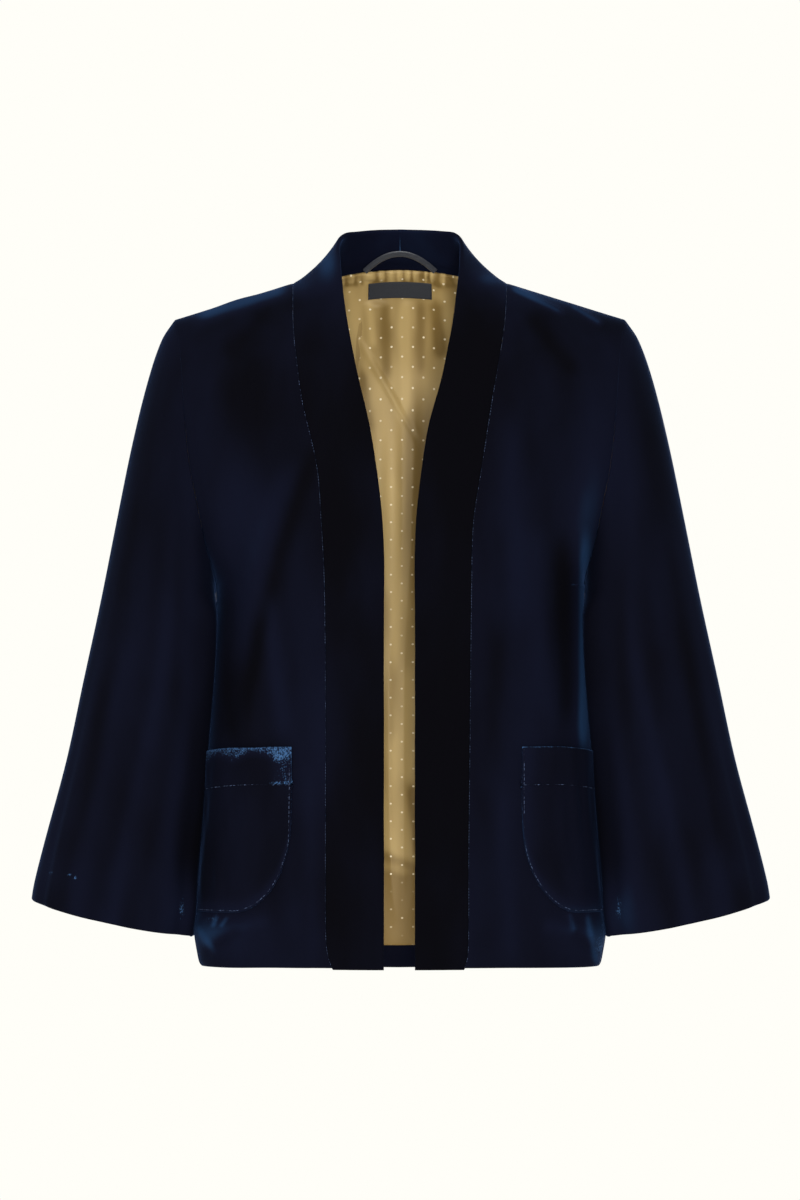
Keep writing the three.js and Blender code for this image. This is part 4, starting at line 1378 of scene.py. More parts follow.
@dataclass
class BackPanel:
    """The back, from the left side seam to the right one, hem to shoulders and neckline."""

    cut: BodyCut
    columns: int = 118
    swell: float = 0.8
    calm_share: float = 0.05
    neck_columns: float = 4
    half_columns: float = 12
    sheet: Cut = Cut(466, 652, 0.252, "hung", ("front_left_cloth", "front_right_cloth"))

    def flat(self, row: Array, count: Array) -> Array:
        """Points on the plain back, spaced as on the front, with close ones at the neck.

        Args:
            row: rows up the cloth.
            count: columns from the centre, -12 at the left side seam and 12 at the right.
        """
        cut, face = self.cut, Face.BACK
        neck, tip = cut.neck_half_width, cut.shoulder_half_width
        out = np.abs(count)
        share = out / self.half_columns
        round_neck = neck * np.sin(np.minimum(1, out / self.neck_columns) * math.pi / 2)
        on_shoulder = (out - self.neck_columns) / (self.half_columns - self.neck_columns)
        top_x = round_neck + (tip - neck) * np.clip(on_shoulder, 0, 1)
        hem = HEM.read(share * cut.hem_outer_x, face.label)
        z = cut.row_height(row, hem, cut.top_height(face, top_x))
        edge = BODY_WIDTH.read(cut.end_height(row, face, cut.hem_outer_x, tip), "x")
        top = cut.towards_top(row)
        x = mix(cut.across_at(face, z, np.zeros_like(z), share), top_x, top)
        x = x + (edge - tip) * top * share**4
        return grid_of(np.sign(count) * x, cut.cloth_y(face, x, z) + cut.seam_gap / 2, z)

    def cloth(self, row: Array, count: Array, small: bool = True) -> tuple[Array, Array]:
        """Points and normals of the back with its folds and, if asked for, its creases."""
        plain = self.flat(row, count)
        normals = normals_of(plain, BODY_MIDDLE)
        x, z = plain[..., 0], plain[..., 2]
        share = (count / self.half_columns + 1) / 2
        height = folds_at(Face.BACK, x, z, share, row, self.cut)
        if small:
            calm = smooth(share / self.calm_share) * smooth((1 - share) / self.calm_share)
            calm = calm * smooth(self.cut.top_row - row)
            low = rise_of(BACK_CREASES, x, z) + Ripple(21, self.swell, 60, 190).at(x, z * 0.3)
            height = height + low * calm
        points = plain + normals * height[..., None]
        return points, normals_of(points, BODY_MIDDLE)

    def build(self, finishes: Finishes) -> None:
        """Makes the back."""
        shares = spaced(self.columns, SIDE_FINE)
        count, row = np.meshgrid((2 * shares - 1) * self.half_columns, self.cut.fine_rows())
        points, normals = self.cloth(row, count)
        below = row[:, 0] <= self.cut.armpit_row
        normals[below, 0, 1] = 0
        normals[below, -1, 1] = 0
        normals[-1, np.abs(points[-1, :, 0]) >= self.cut.neck_half_width, 1] = 0
        x, z = points[..., 0], points[..., 2]
        rub = worn(
            border_runs(points), (Border.START, 0.12, 2), (Border.END, 0.12, 2),
            (Border.FOOT, 0.25, 2), (Border.TOP, 0.2, 1.4),
        )
        # The nap holds the painted highlights and painted shade of the creases and marks
        cloth = Cloth(
            points, unit(normals), panel_wall(row), (THICK_FOLD, SEAM, SHALLOW_SEAM, SHALLOW_SEAM),
            rub=rub + sum_of(BACK_RUBS, x, z), nap=0.5 + painted_light_of(BACK_CREASES, BACK_PAINTED_LIGHT, x, z),
            lined=lined_cells(points, row >= self.cut.hem_row),
        )
        looks = [finishes.velvet, finishes.satin]
        place_piece(cloth.mesh("back_cloth"), looks, "back")


@dataclass
class BackLining:
    """The satin lining of the back, with gathers below the neck and a slanting crease."""

    back: BackPanel
    wall: float = 1.0
    slack: float = 0.5
    gather_depth: float = 1.9
    gather_pitch: float = 7.4
    gather_reach: float = 20
    crease: Crease = Crease(-35, -47, 13, -131, 2.1, 1.4)
    bands: Ripple = Ripple(31, 1.8, 26, 60)
    whole_steps: int = 106
    dots_aside: float = 3.75
    dots_up: float = 7.3
    chest_from: float = 150
    chest_draw: float = 0.13
    neck_draw: float = 8.8
    columns: int = 168
    crowding: float = 0.45
    last_row: float = 20.91
    sheet: Cut = Cut(452, 622, 0.235, "hung", ("back_cloth",))

    def gather(self, x: Array) -> Array:
        """The gathers across the lining, 0 to 1: a wave along X whose step wanders."""
        wander = 2.8 * np.sin(x / 10.7) + 1.8 * np.sin(x / 5.3 + 1) + 1.0 * np.sin(x / 2.4 + 2)
        return 0.5 + 0.5 * np.sin(2 * math.pi * (x + wander) / self.gather_pitch)

    def relief(self, x: Array, z: Array, run: Array) -> Array:
        """Height of the lining's folds towards the wearer.

        The gathers fade down from the neckline. Below them lie soft upright bands and one
        slanting crease with a softer one beside it.

        Args:
            x, z: places on the lining.
            run: their distance below the neckline.
        """
        fade = smooth(run / 2.5) * near(run - 4, self.gather_reach)
        slant = self.crease.height * self.crease.at(x, z) - 0.4 * self.crease.at(x - 3.5, z)
        low = (slant + self.bands.at(x, z * 0.25)) * smooth(run / 12)
        return self.gather_depth * self.gather(x) * fade + low

    def nap(self, x: Array, z: Array, run: Array) -> Array:
        """How light the gold looks: painted light on the gathers and painted shade between them, a
        painted shadow line below them and painted light and shade in a few folds; it is also darker
        at the foot.

        Args:
            x, z: places on the lining.
            run: their distance below the neckline.
        """
        nap = 0.6 + painted_light_of(LINING_FOLDS, (), x, z)
        nap = nap - 0.9 * smooth((-508 - z) / 22) * (1 - 0.35 * bell((z + 556) / 10))
        pucker = (self.gather(x) - 0.5) * near(run - 8, 7)
        return nap + 0.75 * pucker - 0.4 * bell((run - 11) / 2.5) * (0.6 + 0.4 * np.sin(x / 4.1))

    def depth(self, points: Array, row: Array) -> Array:
        """How far inside the back's outer face the lining lies.

        It lies past the back's wall, and further in at its folds, which leave out the borders
        and the place of the label.
        """
        runs = border_runs(points)
        x, z = points[..., 0], points[..., 2]
        wall = PANEL_WALL + PANEL_TURN * near(row - 1, 0.6)
        calm = smooth(runs[Border.START] / 20) * smooth(runs[Border.END] / 20)
        calm = calm * smooth(runs[Border.FOOT] / 20)
        under_label = near(np.abs(x) - 29, 7) * near(np.abs(z + 3.2) - 7.5, 6)
        folds = np.maximum(0, self.relief(x, z, runs[Border.TOP]) + 0.8)
        return wall + self.back.cut.seam_gap + self.slack + folds * calm * (1 - under_label)

    def pattern(self, points: Array) -> tuple[Array, Array]:
        """Place of each point in the pattern of dots, across and along, in millimetres.

        The dots are counted from the centre and from the armpit's height, and lie a little
        further apart on the chest and towards the neck.
        """
        runs = border_runs(points)
        z = points[..., 2]
        middle = points.shape[1] // 2
        start, foot = runs[Border.START], runs[Border.FOOT]
        across = start - start[:, middle : middle + 1]
        up = foot - foot[np.argmin(np.abs(z[:, middle] - self.back.cut.armpit_z))]
        chest = self.chest_draw * np.maximum(0, up - self.chest_from)
        drawn = up - chest - self.neck_draw * smooth((z + 190) / 135)
        columns = across + self.whole_steps * SATIN.column_step + self.dots_aside
        return columns, drawn + self.whole_steps * SATIN.row_step + self.dots_up

    def build(self, finishes: Finishes) -> None:
        """Makes the lining: the back's own points, moved in past its wall."""
        cut = self.back.cut
        place = 2 * spaced(self.columns, SIDE_FINE) - 1
        centred = np.sign(place) * (self.crowding * np.abs(place) + (1 - self.crowding) * place**2)
        rows = cut.fine_rows(cut.hem_row)
        rows = np.append(rows[rows < self.last_row], self.last_row)
        count, row = np.meshgrid(centred * self.back.half_columns, rows)
        points, normals = self.back.cloth(row, count, small=False)
        inner = points - normals * self.depth(points, row)[..., None]
        nap = self.nap(points[..., 0], points[..., 2], border_runs(points)[Border.TOP])
        across, along = self.pattern(points)
        cloth = Cloth(
            inner, normals_of(inner, BODY_MIDDLE), self.wall, (Edge(1, 0.4, 0.4),) * 4,
            nap=nap, inner_nap_and_painted_light=nap, cloth_u=across, cloth_v=along,
        )
        mesh = cloth.mesh("lining_back_cloth")
        place_piece(mesh, [finishes.satin], "lining_back")


@dataclass
class Sleeve:
    """A sleeve: rings from the armhole seam, through the rounded cap, to the wide cuff.

    Angles are in degrees round the sleeve: 0 at the underarm, 90 in front, 180 outside.
    """

    side: Side
    cut: BodyCut
    columns: int = 150
    rings: int = 138
    spread: float = 1.3
    cap_blend: float = 0.35
    clear: float = 1.6
    hug: float = 7
    hug_angle: float = 40
    hug_width: float = 22
    bow: float = 4
    seam_points: int = 22
    turned: float = 24
    turned_wall: float = 1.2
    size: tuple[float, float, float] = (430, 530, 0.163)

    def seam(self, place: Array) -> Array:
        """The armhole seam at places counted from the armpit, up the front and down the back."""
        cut = self.cut
        half = self.seam_points / 2
        row = cut.armpit_row + np.where(place <= half, place, self.seam_points - place)
        z = cut.end_height(row, Face.FRONT, cut.hem_outer_x, cut.shoulder_half_width)
        x = BODY_WIDTH.read(z, "x")
        front, back = (cut.cloth_y(face, x, z) for face in (Face.FRONT, Face.BACK))
        return grid_of(x, np.where(place <= half, front, back), z)

    def oval(self, share: Array, angle: Array) -> Array:
        """Plain oval rings: a cosine in the arm's plane and a sine across it.

        Args:
            share: share of the sleeve's length.
            angle: angle round the sleeve, in radians.
        """
        outer = grid_of(SLEEVE_OUTER.read(share, "x"), 0, SLEEVE_OUTER.read(share, "z"))
        inner = grid_of(SLEEVE_INNER.read(share, "x"), 0, SLEEVE_INNER.read(share, "z"))
        place = mix(inner, outer, ((1 - np.cos(angle)) / 2)[..., None])
        ahead, behind = (SLEEVE_INNER.read(share, column) for column in ("front", "back"))
        depth = np.where(angle < math.pi, ahead, behind)
        y = SLEEVE_INNER.read(share, "middle") - depth * np.sin(angle)
        bow = self.bow * share**2 * np.sin(angle) ** 2
        return grid_of(place[..., 0], y, place[..., 2] - bow)

    def clear_of_body(self, y: Array, z: Array, share: Array) -> Array:
        """Least distance from the centre at which the sleeve passes the body's side.

        Args:
            y, z: places on the sleeve.
            share: their share of its length; beside the seam the least distance is lower.
        """
        edge = BODY_WIDTH.read(z, "x")
        depth = np.where(y < 0, BODY_DEPTH.read(z, "front"), BODY_DEPTH.read(z, "back"))
        side = edge * self.cut.arc(np.minimum(1, np.abs(y) / depth)) + self.clear
        above = edge + self.clear / 3
        least = mix(above, side, smooth((self.cut.armpit_z - z) / 6))
        return np.where(share < 0.004, -1e3, least - 30 * near(share, 0.03))

    def relief(self, share: Array, angle: Array) -> Array:
        """Height of the folds, which grow towards the cuff, and of a low swell.

        Args:
            share: share of the sleeve's length.
            angle: angle round the sleeve, in radians.
        """
        degrees = np.degrees(angle)
        height = np.zeros_like(degrees)
        for rows, sway in ((SLEEVE_FOLDS, 0), (SLEEVE_CREASES, 5)):
            for centre, start, width, rise in rows:
                wander = centre + sway * np.sin(6 * share + centre)
                grown = smooth((share - start) / (1 - start))
                height = height + rise * grown * bell(turned_off(degrees, wander) / width)
        swell = Ripple(41 + self.side.index, 0.7, 60, 160, 7)
        round_it = 60 * (np.cos(angle) + np.sin(angle) * 0.6)
        return height + swell.at(round_it, share * 160) * smooth(share / 0.12)

    def points(self, place: Array, share: Array) -> Array:
        """Points of the sleeve, as on the right side.

        The oval rings are drawn to the armhole seam at the cap, folded, drawn towards the body
        beside it, and kept clear of it.

        Args:
            place: places round the sleeve, counted as on the armhole seam.
            share: share of the sleeve's length.
        """
        angle = 2 * math.pi * place / self.seam_points
        seam = self.seam(place)
        drawn = seam - self.oval(np.zeros_like(share), angle)
        plain = self.oval(share, angle) + drawn * near(share, self.cap_blend)[..., None]
        middle = plain.mean(axis=1, keepdims=True)
        points = plain + unit(plain - middle) * self.relief(share, angle)[..., None]
        degrees = np.degrees(angle)
        centres = (self.hug_angle, 360 - self.hug_angle)
        inner = sum(bell((degrees - centre) / self.hug_width) for centre in centres)
        under = smooth((self.cut.armpit_z - 2 - points[..., 2]) / 26) * near(share - 0.15, 0.5)
        points[..., 0] -= self.hug * inner * (under + 0.8 * smooth((share - 0.8) / 0.15))
        least = self.clear_of_body(points[..., 1], points[..., 2], share)
        points[..., 0] = least + kept_above_zero(points[..., 0] - least)
        points[0] = seam[0]
        tip, pit = seam[0, self.columns // 2], seam[0, 0]
        away = unit(np.array([tip[2] - pit[2], 0, -(tip[0] - pit[0])]))
        return points + away * (self.cut.seam_gap * near(share, 0.02))[..., None]

    def rub(self, points: Array, runs: tuple[Array, ...]) -> Array:
        """Crushed pile: both ends, dabs near the left cuff, and where the sleeve meets the body."""
        x, y, z = np.moveaxis(points, -1, 0)
        spots = marks((self.side.sign * 189, -543, 3.5, 14, 0.45))
        if self.side is Side.LEFT:
            spots = spots + CUFF_DABS
        ends = worn(runs, (Border.FOOT, 0.1, 2), (Border.TOP, 0.25, 2))
        return ends + sum_of(spots, x, z) * smooth(-y / 20)

    def nap(self, points: Array, share: Array, angle: Array) -> Array:
        """How blue the pile looks: streaks along the sleeve, which wander, with painted shade beside
        the underarm, and soft lighter places, among them a painted highlight on the cap.
        """
        degrees = np.degrees(angle)
        nap = np.full_like(degrees, 0.5)
        for centre, start, width, more in SLEEVE_STREAKS:
            wander = centre + 4 * np.sin(7 * share + centre)
            shown = 0.6 * more * smooth((share - start) / 0.35)
            nap = nap + shown * bell(turned_off(degrees, wander) / width)
        sign = self.side.sign
        # Soft lighter places: a painted highlight on top of the cap, and lighter places near the cuff
        soft = marks(
            (sign * 210, -44, 12, 18, 0.6), (sign * 188, -545, 14, 30, 0.7),
            (sign * 296, -512, 30, 20, 0.25),
        )
        return nap + sum_of(soft, points[..., 0], points[..., 2])

    def build(self, finishes: Finishes) -> None:
        """Makes the sleeve."""
        middle = np.linspace(0.025, 0.988, self.rings)
        t = np.concatenate([[0, 0.012], middle, [0.993, 0.997, 0.9985, 1]])
        place = np.arange(self.columns) * self.seam_points / self.columns
        place, share = np.meshgrid(place, t**self.spread)
        points = self.points(place, share)
        points[..., 0] *= self.side.sign
        normals = normals_of(points, points.mean(axis=1, keepdims=True), wrapped=True)
        runs = border_runs(points)
        to_cuff = runs[Border.TOP]
        turn = smooth((self.turned + 1 - to_cuff) / 1.2)
        cloth = Cloth(
            points, normals, PANEL_WALL + self.turned_wall * turn,
            (SHALLOW_SEAM, THICK_FOLD, SEAM, SEAM), wrapped=True, rub=self.rub(points, runs),
            nap=self.nap(points, share, 2 * math.pi * place / self.seam_points),
            lined=lined_cells(points, to_cuff > self.turned, wrapped=True),
        )
        name = f"sleeve_{self.side.label}"
        looks = [finishes.velvet, finishes.satin]
        place_piece(cloth.mesh(f"{name}_cloth"), looks, name)


@dataclass
class CollarBand:
    """One half of the folded band, up the front edge and round the neck to the centre back."""

    side: Side
    cut: BodyCut
    front: FrontPanel
    back: BackPanel
    wall: float = 4
    neck_thinning: float = 2.2
    drop: float = 1.5
    tilt: float = 8
    tilt_from: float = -260
    crown: float = 0.9
    join_gap: float = 0.0003
    join_from: float = 24
    last_station: float = 25
    columns: int = 22
    size: tuple[float, float, float] = (56, 760, 0.0404)

    @property
    def calm_nap(self) -> float:
        """How blue the half's pile looks where nothing bends it: the left half is a little bluer."""
        return 0.15 if self.side is Side.LEFT else 0.0

    def stations(self) -> Array:
        """Stations along the band: the front's rows, then on round the neck to the centre back."""
        joint = [24.94, 24.97, 24.99, self.last_station]
        return np.concatenate([self.cut.fine_rows(), np.linspace(21.05, 24.9, 60), joint])

    def edge_table(self) -> Table:
        """The free edge and the bend of the band by station: seam rows, then the neckline."""
        count = int(self.cut.chest_row)
        rows = np.arange(count, dtype=float)[:, None]
        z = self.front.flat(rows, np.zeros((count, 1)))[:, 0, 2]
        slant = (z - self.tilt_from) / (COLLAR_EDGE[0][2] - self.tilt_from)
        z = z + self.tilt * smooth(slant)
        x, y = (BAND_EDGE.read(z, column) for column in (self.side.label, "y"))
        chest = [(k, x[k], y[k], z[k], 0) for k in range(count)]
        collar = [(count + k, *place) for k, place in enumerate(COLLAR_EDGE)]
        return Table("station x y z camber", (*chest, *collar))

    def seam(self, station: Array) -> tuple[Array, Array]:
        """Points and normals of the seam: on the front's border, then along the neckline."""
        top = self.cut.top_row
        on_front = station[station <= top]
        share, row = np.meshgrid([0, 0.01, 0.02], on_front)
        points = self.front.flat(row, share)
        normals = normals_of(points, BODY_MIDDLE)[:, 0]
        normals[-1, 1] = 0
        to_centre = self.last_station - station[station > top]
        count, row = np.meshgrid(to_centre, [top - 0.04, top - 0.02, top])
        neck = self.back.flat(row, count * self.side.sign)
        behind = normals_of(neck, BODY_MIDDLE)[-1]
        return np.concatenate([points[:, 0], neck[-1]]), unit(np.concatenate([normals, behind]))

    def cloth(self, station: Array, across: Array) -> tuple[Array, Array]:
        """Points and normals of the half: straight from seam to edge, bent and crowned.

        Args:
            station: stations along the band.
            across: shares of its width from the seam, as one row.
        """
        sign = self.side.sign
        seam, seam_normal = self.seam(station)
        table = self.edge_table()
        edge = grid_of(*(table.read(station, column) for column in "xyz"))
        edge[:, 0] *= sign
        start = seam + unit(edge - seam) * self.cut.seam_gap
        flat = mix(start[:, None], edge[:, None], across[..., None])
        flat[..., 2] -= self.drop * near(station, 1)[:, None]
        flat[..., 0] += sign * self.join_gap * smooth((station - 24.9) / 0.1)[:, None]
        camber = table.read(station, "camber")[:, None]
        bend = 4 * across * (1 - across) * (camber + self.crown)
        swell = Ripple(51 + self.side.index, 0.5, 50, 160)
        low = swell.at(border_runs(flat)[Border.FOOT], across * 60) * smooth(across / 0.3)
        low = low * smooth((self.last_station - station) / 0.5)[:, None]
        points = flat + normals_of(flat, NECK_MIDDLE) * (bend + low)[..., None]
        own = smooth(across * 3)[..., None]
        normals = unit(mix(seam_normal[:, None], normals_of(points, NECK_MIDDLE), own))
        normals[-1, :, 0] = 0
        return points, unit(normals)

    def build(self, finishes: Finishes) -> None:
        """Makes the half band."""
        station = self.stations()
        across = spaced(self.columns, (0.010, 0.024, 0.042, 0.065))[None]
        points, normals = self.cloth(station, across)
        runs = border_runs(points)
        rub = worn(
            runs, (Border.START, 0.22, 0.9), (Border.END, 0.1, 2), (Border.FOOT, 0.2, 2),
            (Border.TOP, 0.2, 1),
        )
        x, z = points[..., 0], points[..., 2]
        # Bluer towards the top of the band, with the painted highlights beside the neck
        nap = self.calm_nap + 0.35 * smooth((z + 60) / 60) + sum_of(BAND_PAINTED_HIGHLIGHTS[self.side], x, z)
        joint = worn(runs, (Border.TOP, 1.2, 0.9)) * smooth((z - self.join_from) / 8)
        at_neck = smooth((station - self.cut.top_row) / 0.5)[:, None]
        wall = self.wall - self.neck_thinning * near(across, 0.3) * at_neck
        cloth = Cloth(
            points, normals, wall, (BAND_FOLD, SEAM, SEAM, BAND_FOLD),
            rub=rub, inner_rub=joint, nap=nap, inner_nap_and_painted_light=1.0,
        )
        name = f"band_{self.side.label}"
        place_piece(cloth.mesh(f"{name}_cloth"), [finishes.velvet], name)


@dataclass(frozen=True)
class PocketGrid:
    """The grid of a pocket: distances on it, and its place on the front.

    Attributes:
        run: distance from the inner side.
        left: distance from the outer side.
        down: distance below the top edge.
        above: distance above the lower edge.
        z: height.
    """

    run: Array
    left: Array
    down: Array
    above: Array
    z: Array


@dataclass
class PatchPocket:
    """A patch pocket on a front: round corners, a turned and stitched top, and its stitches."""

    side: Side
    front: FrontPanel
    top_inner: float = -402
    top_outer: float = -408
    bottom: float = -546
    inner_across: float = 52
    inner_down: float = 80
    outer_across: float = 14
    outer_down: float = 18
    outer_share: float = 7.75 / 8
    widest: float = 140
    lift: float = 0.4
    wall: float = 2
    hem_depth: float = 32
    columns: int = 58
    rows: int = 62
    side_inset: int = 4
    foot_inset: int = 2
    size: tuple[float, float, float] = (98, 158, 0.0150)

    @property
    def inner_x(self) -> float:
        """Distance of the inner side from the centre."""
        return 93.5 if self.side is Side.LEFT else 105.0

    def shares(self, run: Array) -> Array:
        """Shares of the front's width at distances from the pocket's inner side."""
        fine = np.linspace(0, 1, 400)
        row = self.row_at(fine, (self.top_inner + self.bottom) / 2)
        line = self.front.flat(row[None], fine[None])[0]
        first = np.interp(self.inner_x, np.abs(line[:, 0]), fine)
        length = np.concatenate([[0], np.cumsum(np.linalg.norm(np.diff(line, axis=0), axis=1))])
        start = np.interp(first, fine, length)
        return np.interp(start + run, length, fine)

    def width(self) -> float:
        """Width of the pocket along the cloth."""
        runs = np.linspace(0, self.widest, 1401)
        return float(np.interp(self.outer_share, self.shares(runs), runs))

    def row_at(self, share: Array, z: Array) -> Array:
        """The front's row at a height below the armpit."""
        cut = self.front.cut
        hem = HEM.read(mix(cut.hem_inner_x, cut.hem_outer_x, share), "front") + cut.turned_hem
        rows = cut.armpit_row - cut.hem_row
        return cut.hem_row + rows * (z - hem) / (cut.armpit_z - hem)

    def grid(self) -> PocketGrid:
        """The pocket's grid: columns close at both sides, and rows close at both ends."""
        width = self.width()
        q = np.linspace(0, 1, self.columns)
        rows = spaced(self.rows, (0.006, 0.014, 0.024, 0.036))
        run, climb = np.meshgrid(width * (1 - np.cos(math.pi * q)) / 2, rows)
        top = mix(self.top_inner, self.top_outer, smooth((run - 28) / (width - 20)))
        inner = self.inner_down * (1 - round_off(run / self.inner_across))
        outer = self.outer_down * (1 - round_off((width - run) / self.outer_across))
        foot = self.bottom + inner + outer
        z = mix(foot, top, climb)
        return PocketGrid(run, width - run, top - z, z - foot, z)

    def height(self, grid: PocketGrid) -> Array:
        """Height over the front: the wall, a soft puff, slack at the top and the turned top."""
        side = np.minimum(grid.run, grid.left)
        puff = smooth(side / 18) * smooth(grid.above / 22)
        slack = 1.3 * smooth(side / 30) * near(grid.down, 40)
        past = grid.down - self.hem_depth
        band = 0.5 * near(past + 0.6, 1.2) - 0.55 * bell((past - 0.8) / 1.1)
        crumple = Ripple(61 + self.side.index, 0.35, 12, 34).at(grid.run, grid.z * 0.8)
        return self.lift + self.wall + (0.9 + crumple) * puff + slack + band

    def looks(self, grid: PocketGrid, runs: tuple[Array, ...]) -> tuple[Array, Array]:
        """Rub and nap: worn edges on both pockets, and on the left one a crushed top. The nap also
        holds painted glows along the outer side and the lower edge, and on the right pocket along
        the inner side.

        Args:
            grid: the pocket's grid.
            runs: distances from its four borders on the cloth.

        Returns:
            How far the pile is crushed, and how blue it looks.
        """
        past = grid.down - self.hem_depth
        rub = worn(
            runs, (Border.START, 0.34, 1.2), (Border.END, 0.34, 1.2), (Border.FOOT, 0.3, 1.2),
            (Border.TOP, 0.3, 1.2),
        )
        rub = rub + 0.2 * bell(past / 1.2)
        # Painted glows along the outer side and the lower edge
        nap = 0.5 + 0.5 * bell(grid.left / 9) * smooth((grid.down - 40) / 40)
        nap = nap + 0.6 * bell(grid.above / 9)
        if self.side is Side.RIGHT:
            rub = rub + 0.2 * near(grid.down, 4)
            rub = rub + 0.5 * near(grid.left, 2.5) * bell((grid.down - 112) / 34)
            # A painted glow along the right pocket's inner side
            return rub, nap + 0.4 * bell(grid.run / 8)
        low = near(grid.down - 3 - 3 * np.sin(grid.run / 7), 11)
        inner = near(grid.run - 8, 18) * near(past + 2, 4)
        rub = rub + 0.42 * low + 0.3 * inner * (1 - 0.5 * low)
        rub = rub + 0.24 * bell(past / 1.6) * near(grid.run - 16, 14)
        return np.minimum(rub, 0.5), nap + 0.5 * low + 0.3 * inner

    def build(self, finishes: Finishes) -> None:
        """Makes the pocket from the front's own points, moved out, and its stitches."""
        grid = self.grid()
        share = self.shares(grid.run)
        points, normals = self.front.cloth(self.row_at(share, grid.z), share)
        points = points + normals * self.height(grid)[..., None]
        normals = normals_of(points, BODY_MIDDLE)
        rub, nap = self.looks(grid, border_runs(points))
        edges = (POCKET_SIDE, FOLD, POCKET_SIDE, POCKET_SIDE)
        cloth = Cloth(points, normals, self.wall, edges, rub=rub, nap=nap)
        name = f"pocket_{self.side.label}"
        place_piece(cloth.mesh(f"{name}_cloth"), [finishes.velvet], name)
        self.stitch(finishes, points, normals, grid.down)

    def stitch(self, finishes: Finishes, points: Array, normals: Array, down: Array) -> None:
        """Sews a row along the turned top and one round the sides and the bottom.

        The rows of stitches follow the pocket's own grid, so they lie on its cloth. The first
        crosses each column where it reaches the hem's depth.

        Args:
            finishes: the shared materials.
            points: the pocket's grid.
            normals: its normals.
            down: distance of each point below the pocket's top.
        """
        rows, columns = down.shape
        depth = self.hem_depth + 0.8
        across = np.arange(3, columns - 3)
        after = (down > depth).sum(axis=0)[across]
        above, below = down[after, across], down[after - 1, across]
        part = ((below - depth) / (below - above))[:, None]
        climb = np.arange(rows - 3, 3, -1)
        level = np.arange(self.side_inset, columns - self.side_inset)
        ring = [(climb, np.full_like(climb, self.side_inset))]
        ring.append((np.full_like(level, self.foot_inset), level))
        ring.append((climb[::-1], np.full_like(climb, columns - 1 - self.side_inset)))
        grids = (points, normals)
        middle = [mix(grid[after - 1, across], grid[after, across], part) for grid in grids]
        around = [np.concatenate([grid[r, c] for r, c in ring]) for grid in grids]
        for label, (path, normal) in (("hem", middle), ("outline", around)):
            mesh = POCKET_STITCH.mesh(f"pocket_{self.side.label}_{label}_stitches", path, normal)
            place_piece(mesh, [finishes.thread])


@dataclass
class HangingLoop:
    """A ribbon in a low arch, a parabola, at the centre back, leaning forward as it rises."""

    half_width: float = 31
    rise: float = 15
    foot_y: float = 65.2
    foot_z: float = 12
    lean: float = 0.82
    ribbon: float = 5
    thick: float = 1.2
    wall_share: float = 0.7
    steps: int = 90
    across: int = 9

    def build(self, finishes: Finishes) -> None:
        """Makes the ribbon, cupped a little across its width."""
        widths = np.linspace(-0.5, 0.5, self.across)
        beyond, angle = np.meshgrid(widths, np.linspace(0, math.pi, self.steps))
        out = beyond * self.ribbon
        slope = 2 * self.rise * np.cos(angle)
        length = np.hypot(slope, self.half_width)
        x = -self.half_width * np.cos(angle) - out * slope / length
        climb = self.rise * np.sin(angle) ** 2 + out * self.half_width / length
        normal = unit(np.array([0, -1, -self.lean]))
        cup = 0.25 * (1 - (2 * beyond) ** 2) + 0.2 * np.sin(3 * angle + 0.6)
        points = grid_of(x, self.foot_y - climb * self.lean, self.foot_z + climb)
        points = points + normal * (self.thick / 2 - 0.45 + cup)[..., None]
        normals = np.broadcast_to(normal, points.shape)
        cloth = Cloth(points, normals, self.thick * self.wall_share, (Edge(0.7, 0.4, 0.4),) * 4)
        place_piece(cloth.mesh("hanging_loop_ribbon"), [finishes.ribbon], "hanging_loop")


@dataclass
class Label:
    """The bare woven label on the lining below the neck seam, sewn down at its ends."""

    cut: BodyCut
    half_width: float = 28.5
    top: float = 3.8
    bottom: float = -10.2
    thick: float = 0.8
    bow: float = 1.5
    depth: float = 5.0
    columns: int = 72
    rows: int = 22
    sheet: Cut = Cut(57, 14, 0.000798, "laid", ("lining_back_cloth",))

    def build(self, finishes: Finishes) -> None:
        """Makes the label, which follows the back's curve, and its stitches."""
        widths = self.half_width * np.linspace(-1, 1, self.columns)
        x, z = np.meshgrid(widths, np.linspace(self.bottom, self.top, self.rows))
        z = z + self.bow * (1 - (x / self.half_width) ** 2)
        plain = grid_of(x, self.cut.cloth_y(Face.BACK, x, z), z)
        normals = normals_of(plain, BODY_MIDDLE)
        wave = 0.25 * np.sin(x / 6.5 + 0.4) * (np.abs(x) / self.half_width)
        inner = plain - normals * (self.depth + wave)[..., None]
        cloth = Cloth(inner, normals, self.thick, (Edge(0.8, 0.25, 0.25),) * 4)
        place_piece(cloth.mesh("label_cloth"), [finishes.label], "label")
        for label, at in (("left", 1), ("right", -2)):
            path = inner[:, at] - normals[:, at] * (self.thick + 0.05)
            mesh = LABEL_STITCH.mesh(f"label_{label}_stitches", path, -normals[:, at])
            place_piece(mesh, [finishes.thread])


# The studio


@dataclass(frozen=True)
class Lamp:
    """A square area light: its place, what it looks at, its size in metres and its power."""

    name: str
    place: tuple[float, float, float]
    target: tuple[float, float, float]
    size: float
    power: float

    def build(self) -> None:
        """Adds the light, turned to its target."""
        lamp = bpy.data.lights.new(self.name, "AREA")
        lamp.size = self.size
        lamp.energy = self.power
        holder = bpy.data.objects.new(self.name, lamp)
        bpy.context.scene.collection.objects.link(holder)
        holder.location = self.place
        x, y, z = np.array(self.target) - np.array(self.place)
        tilt = math.atan2(math.hypot(x, y), -z)
        holder.rotation_euler = (tilt, 0, math.atan2(x, -y) + math.pi)


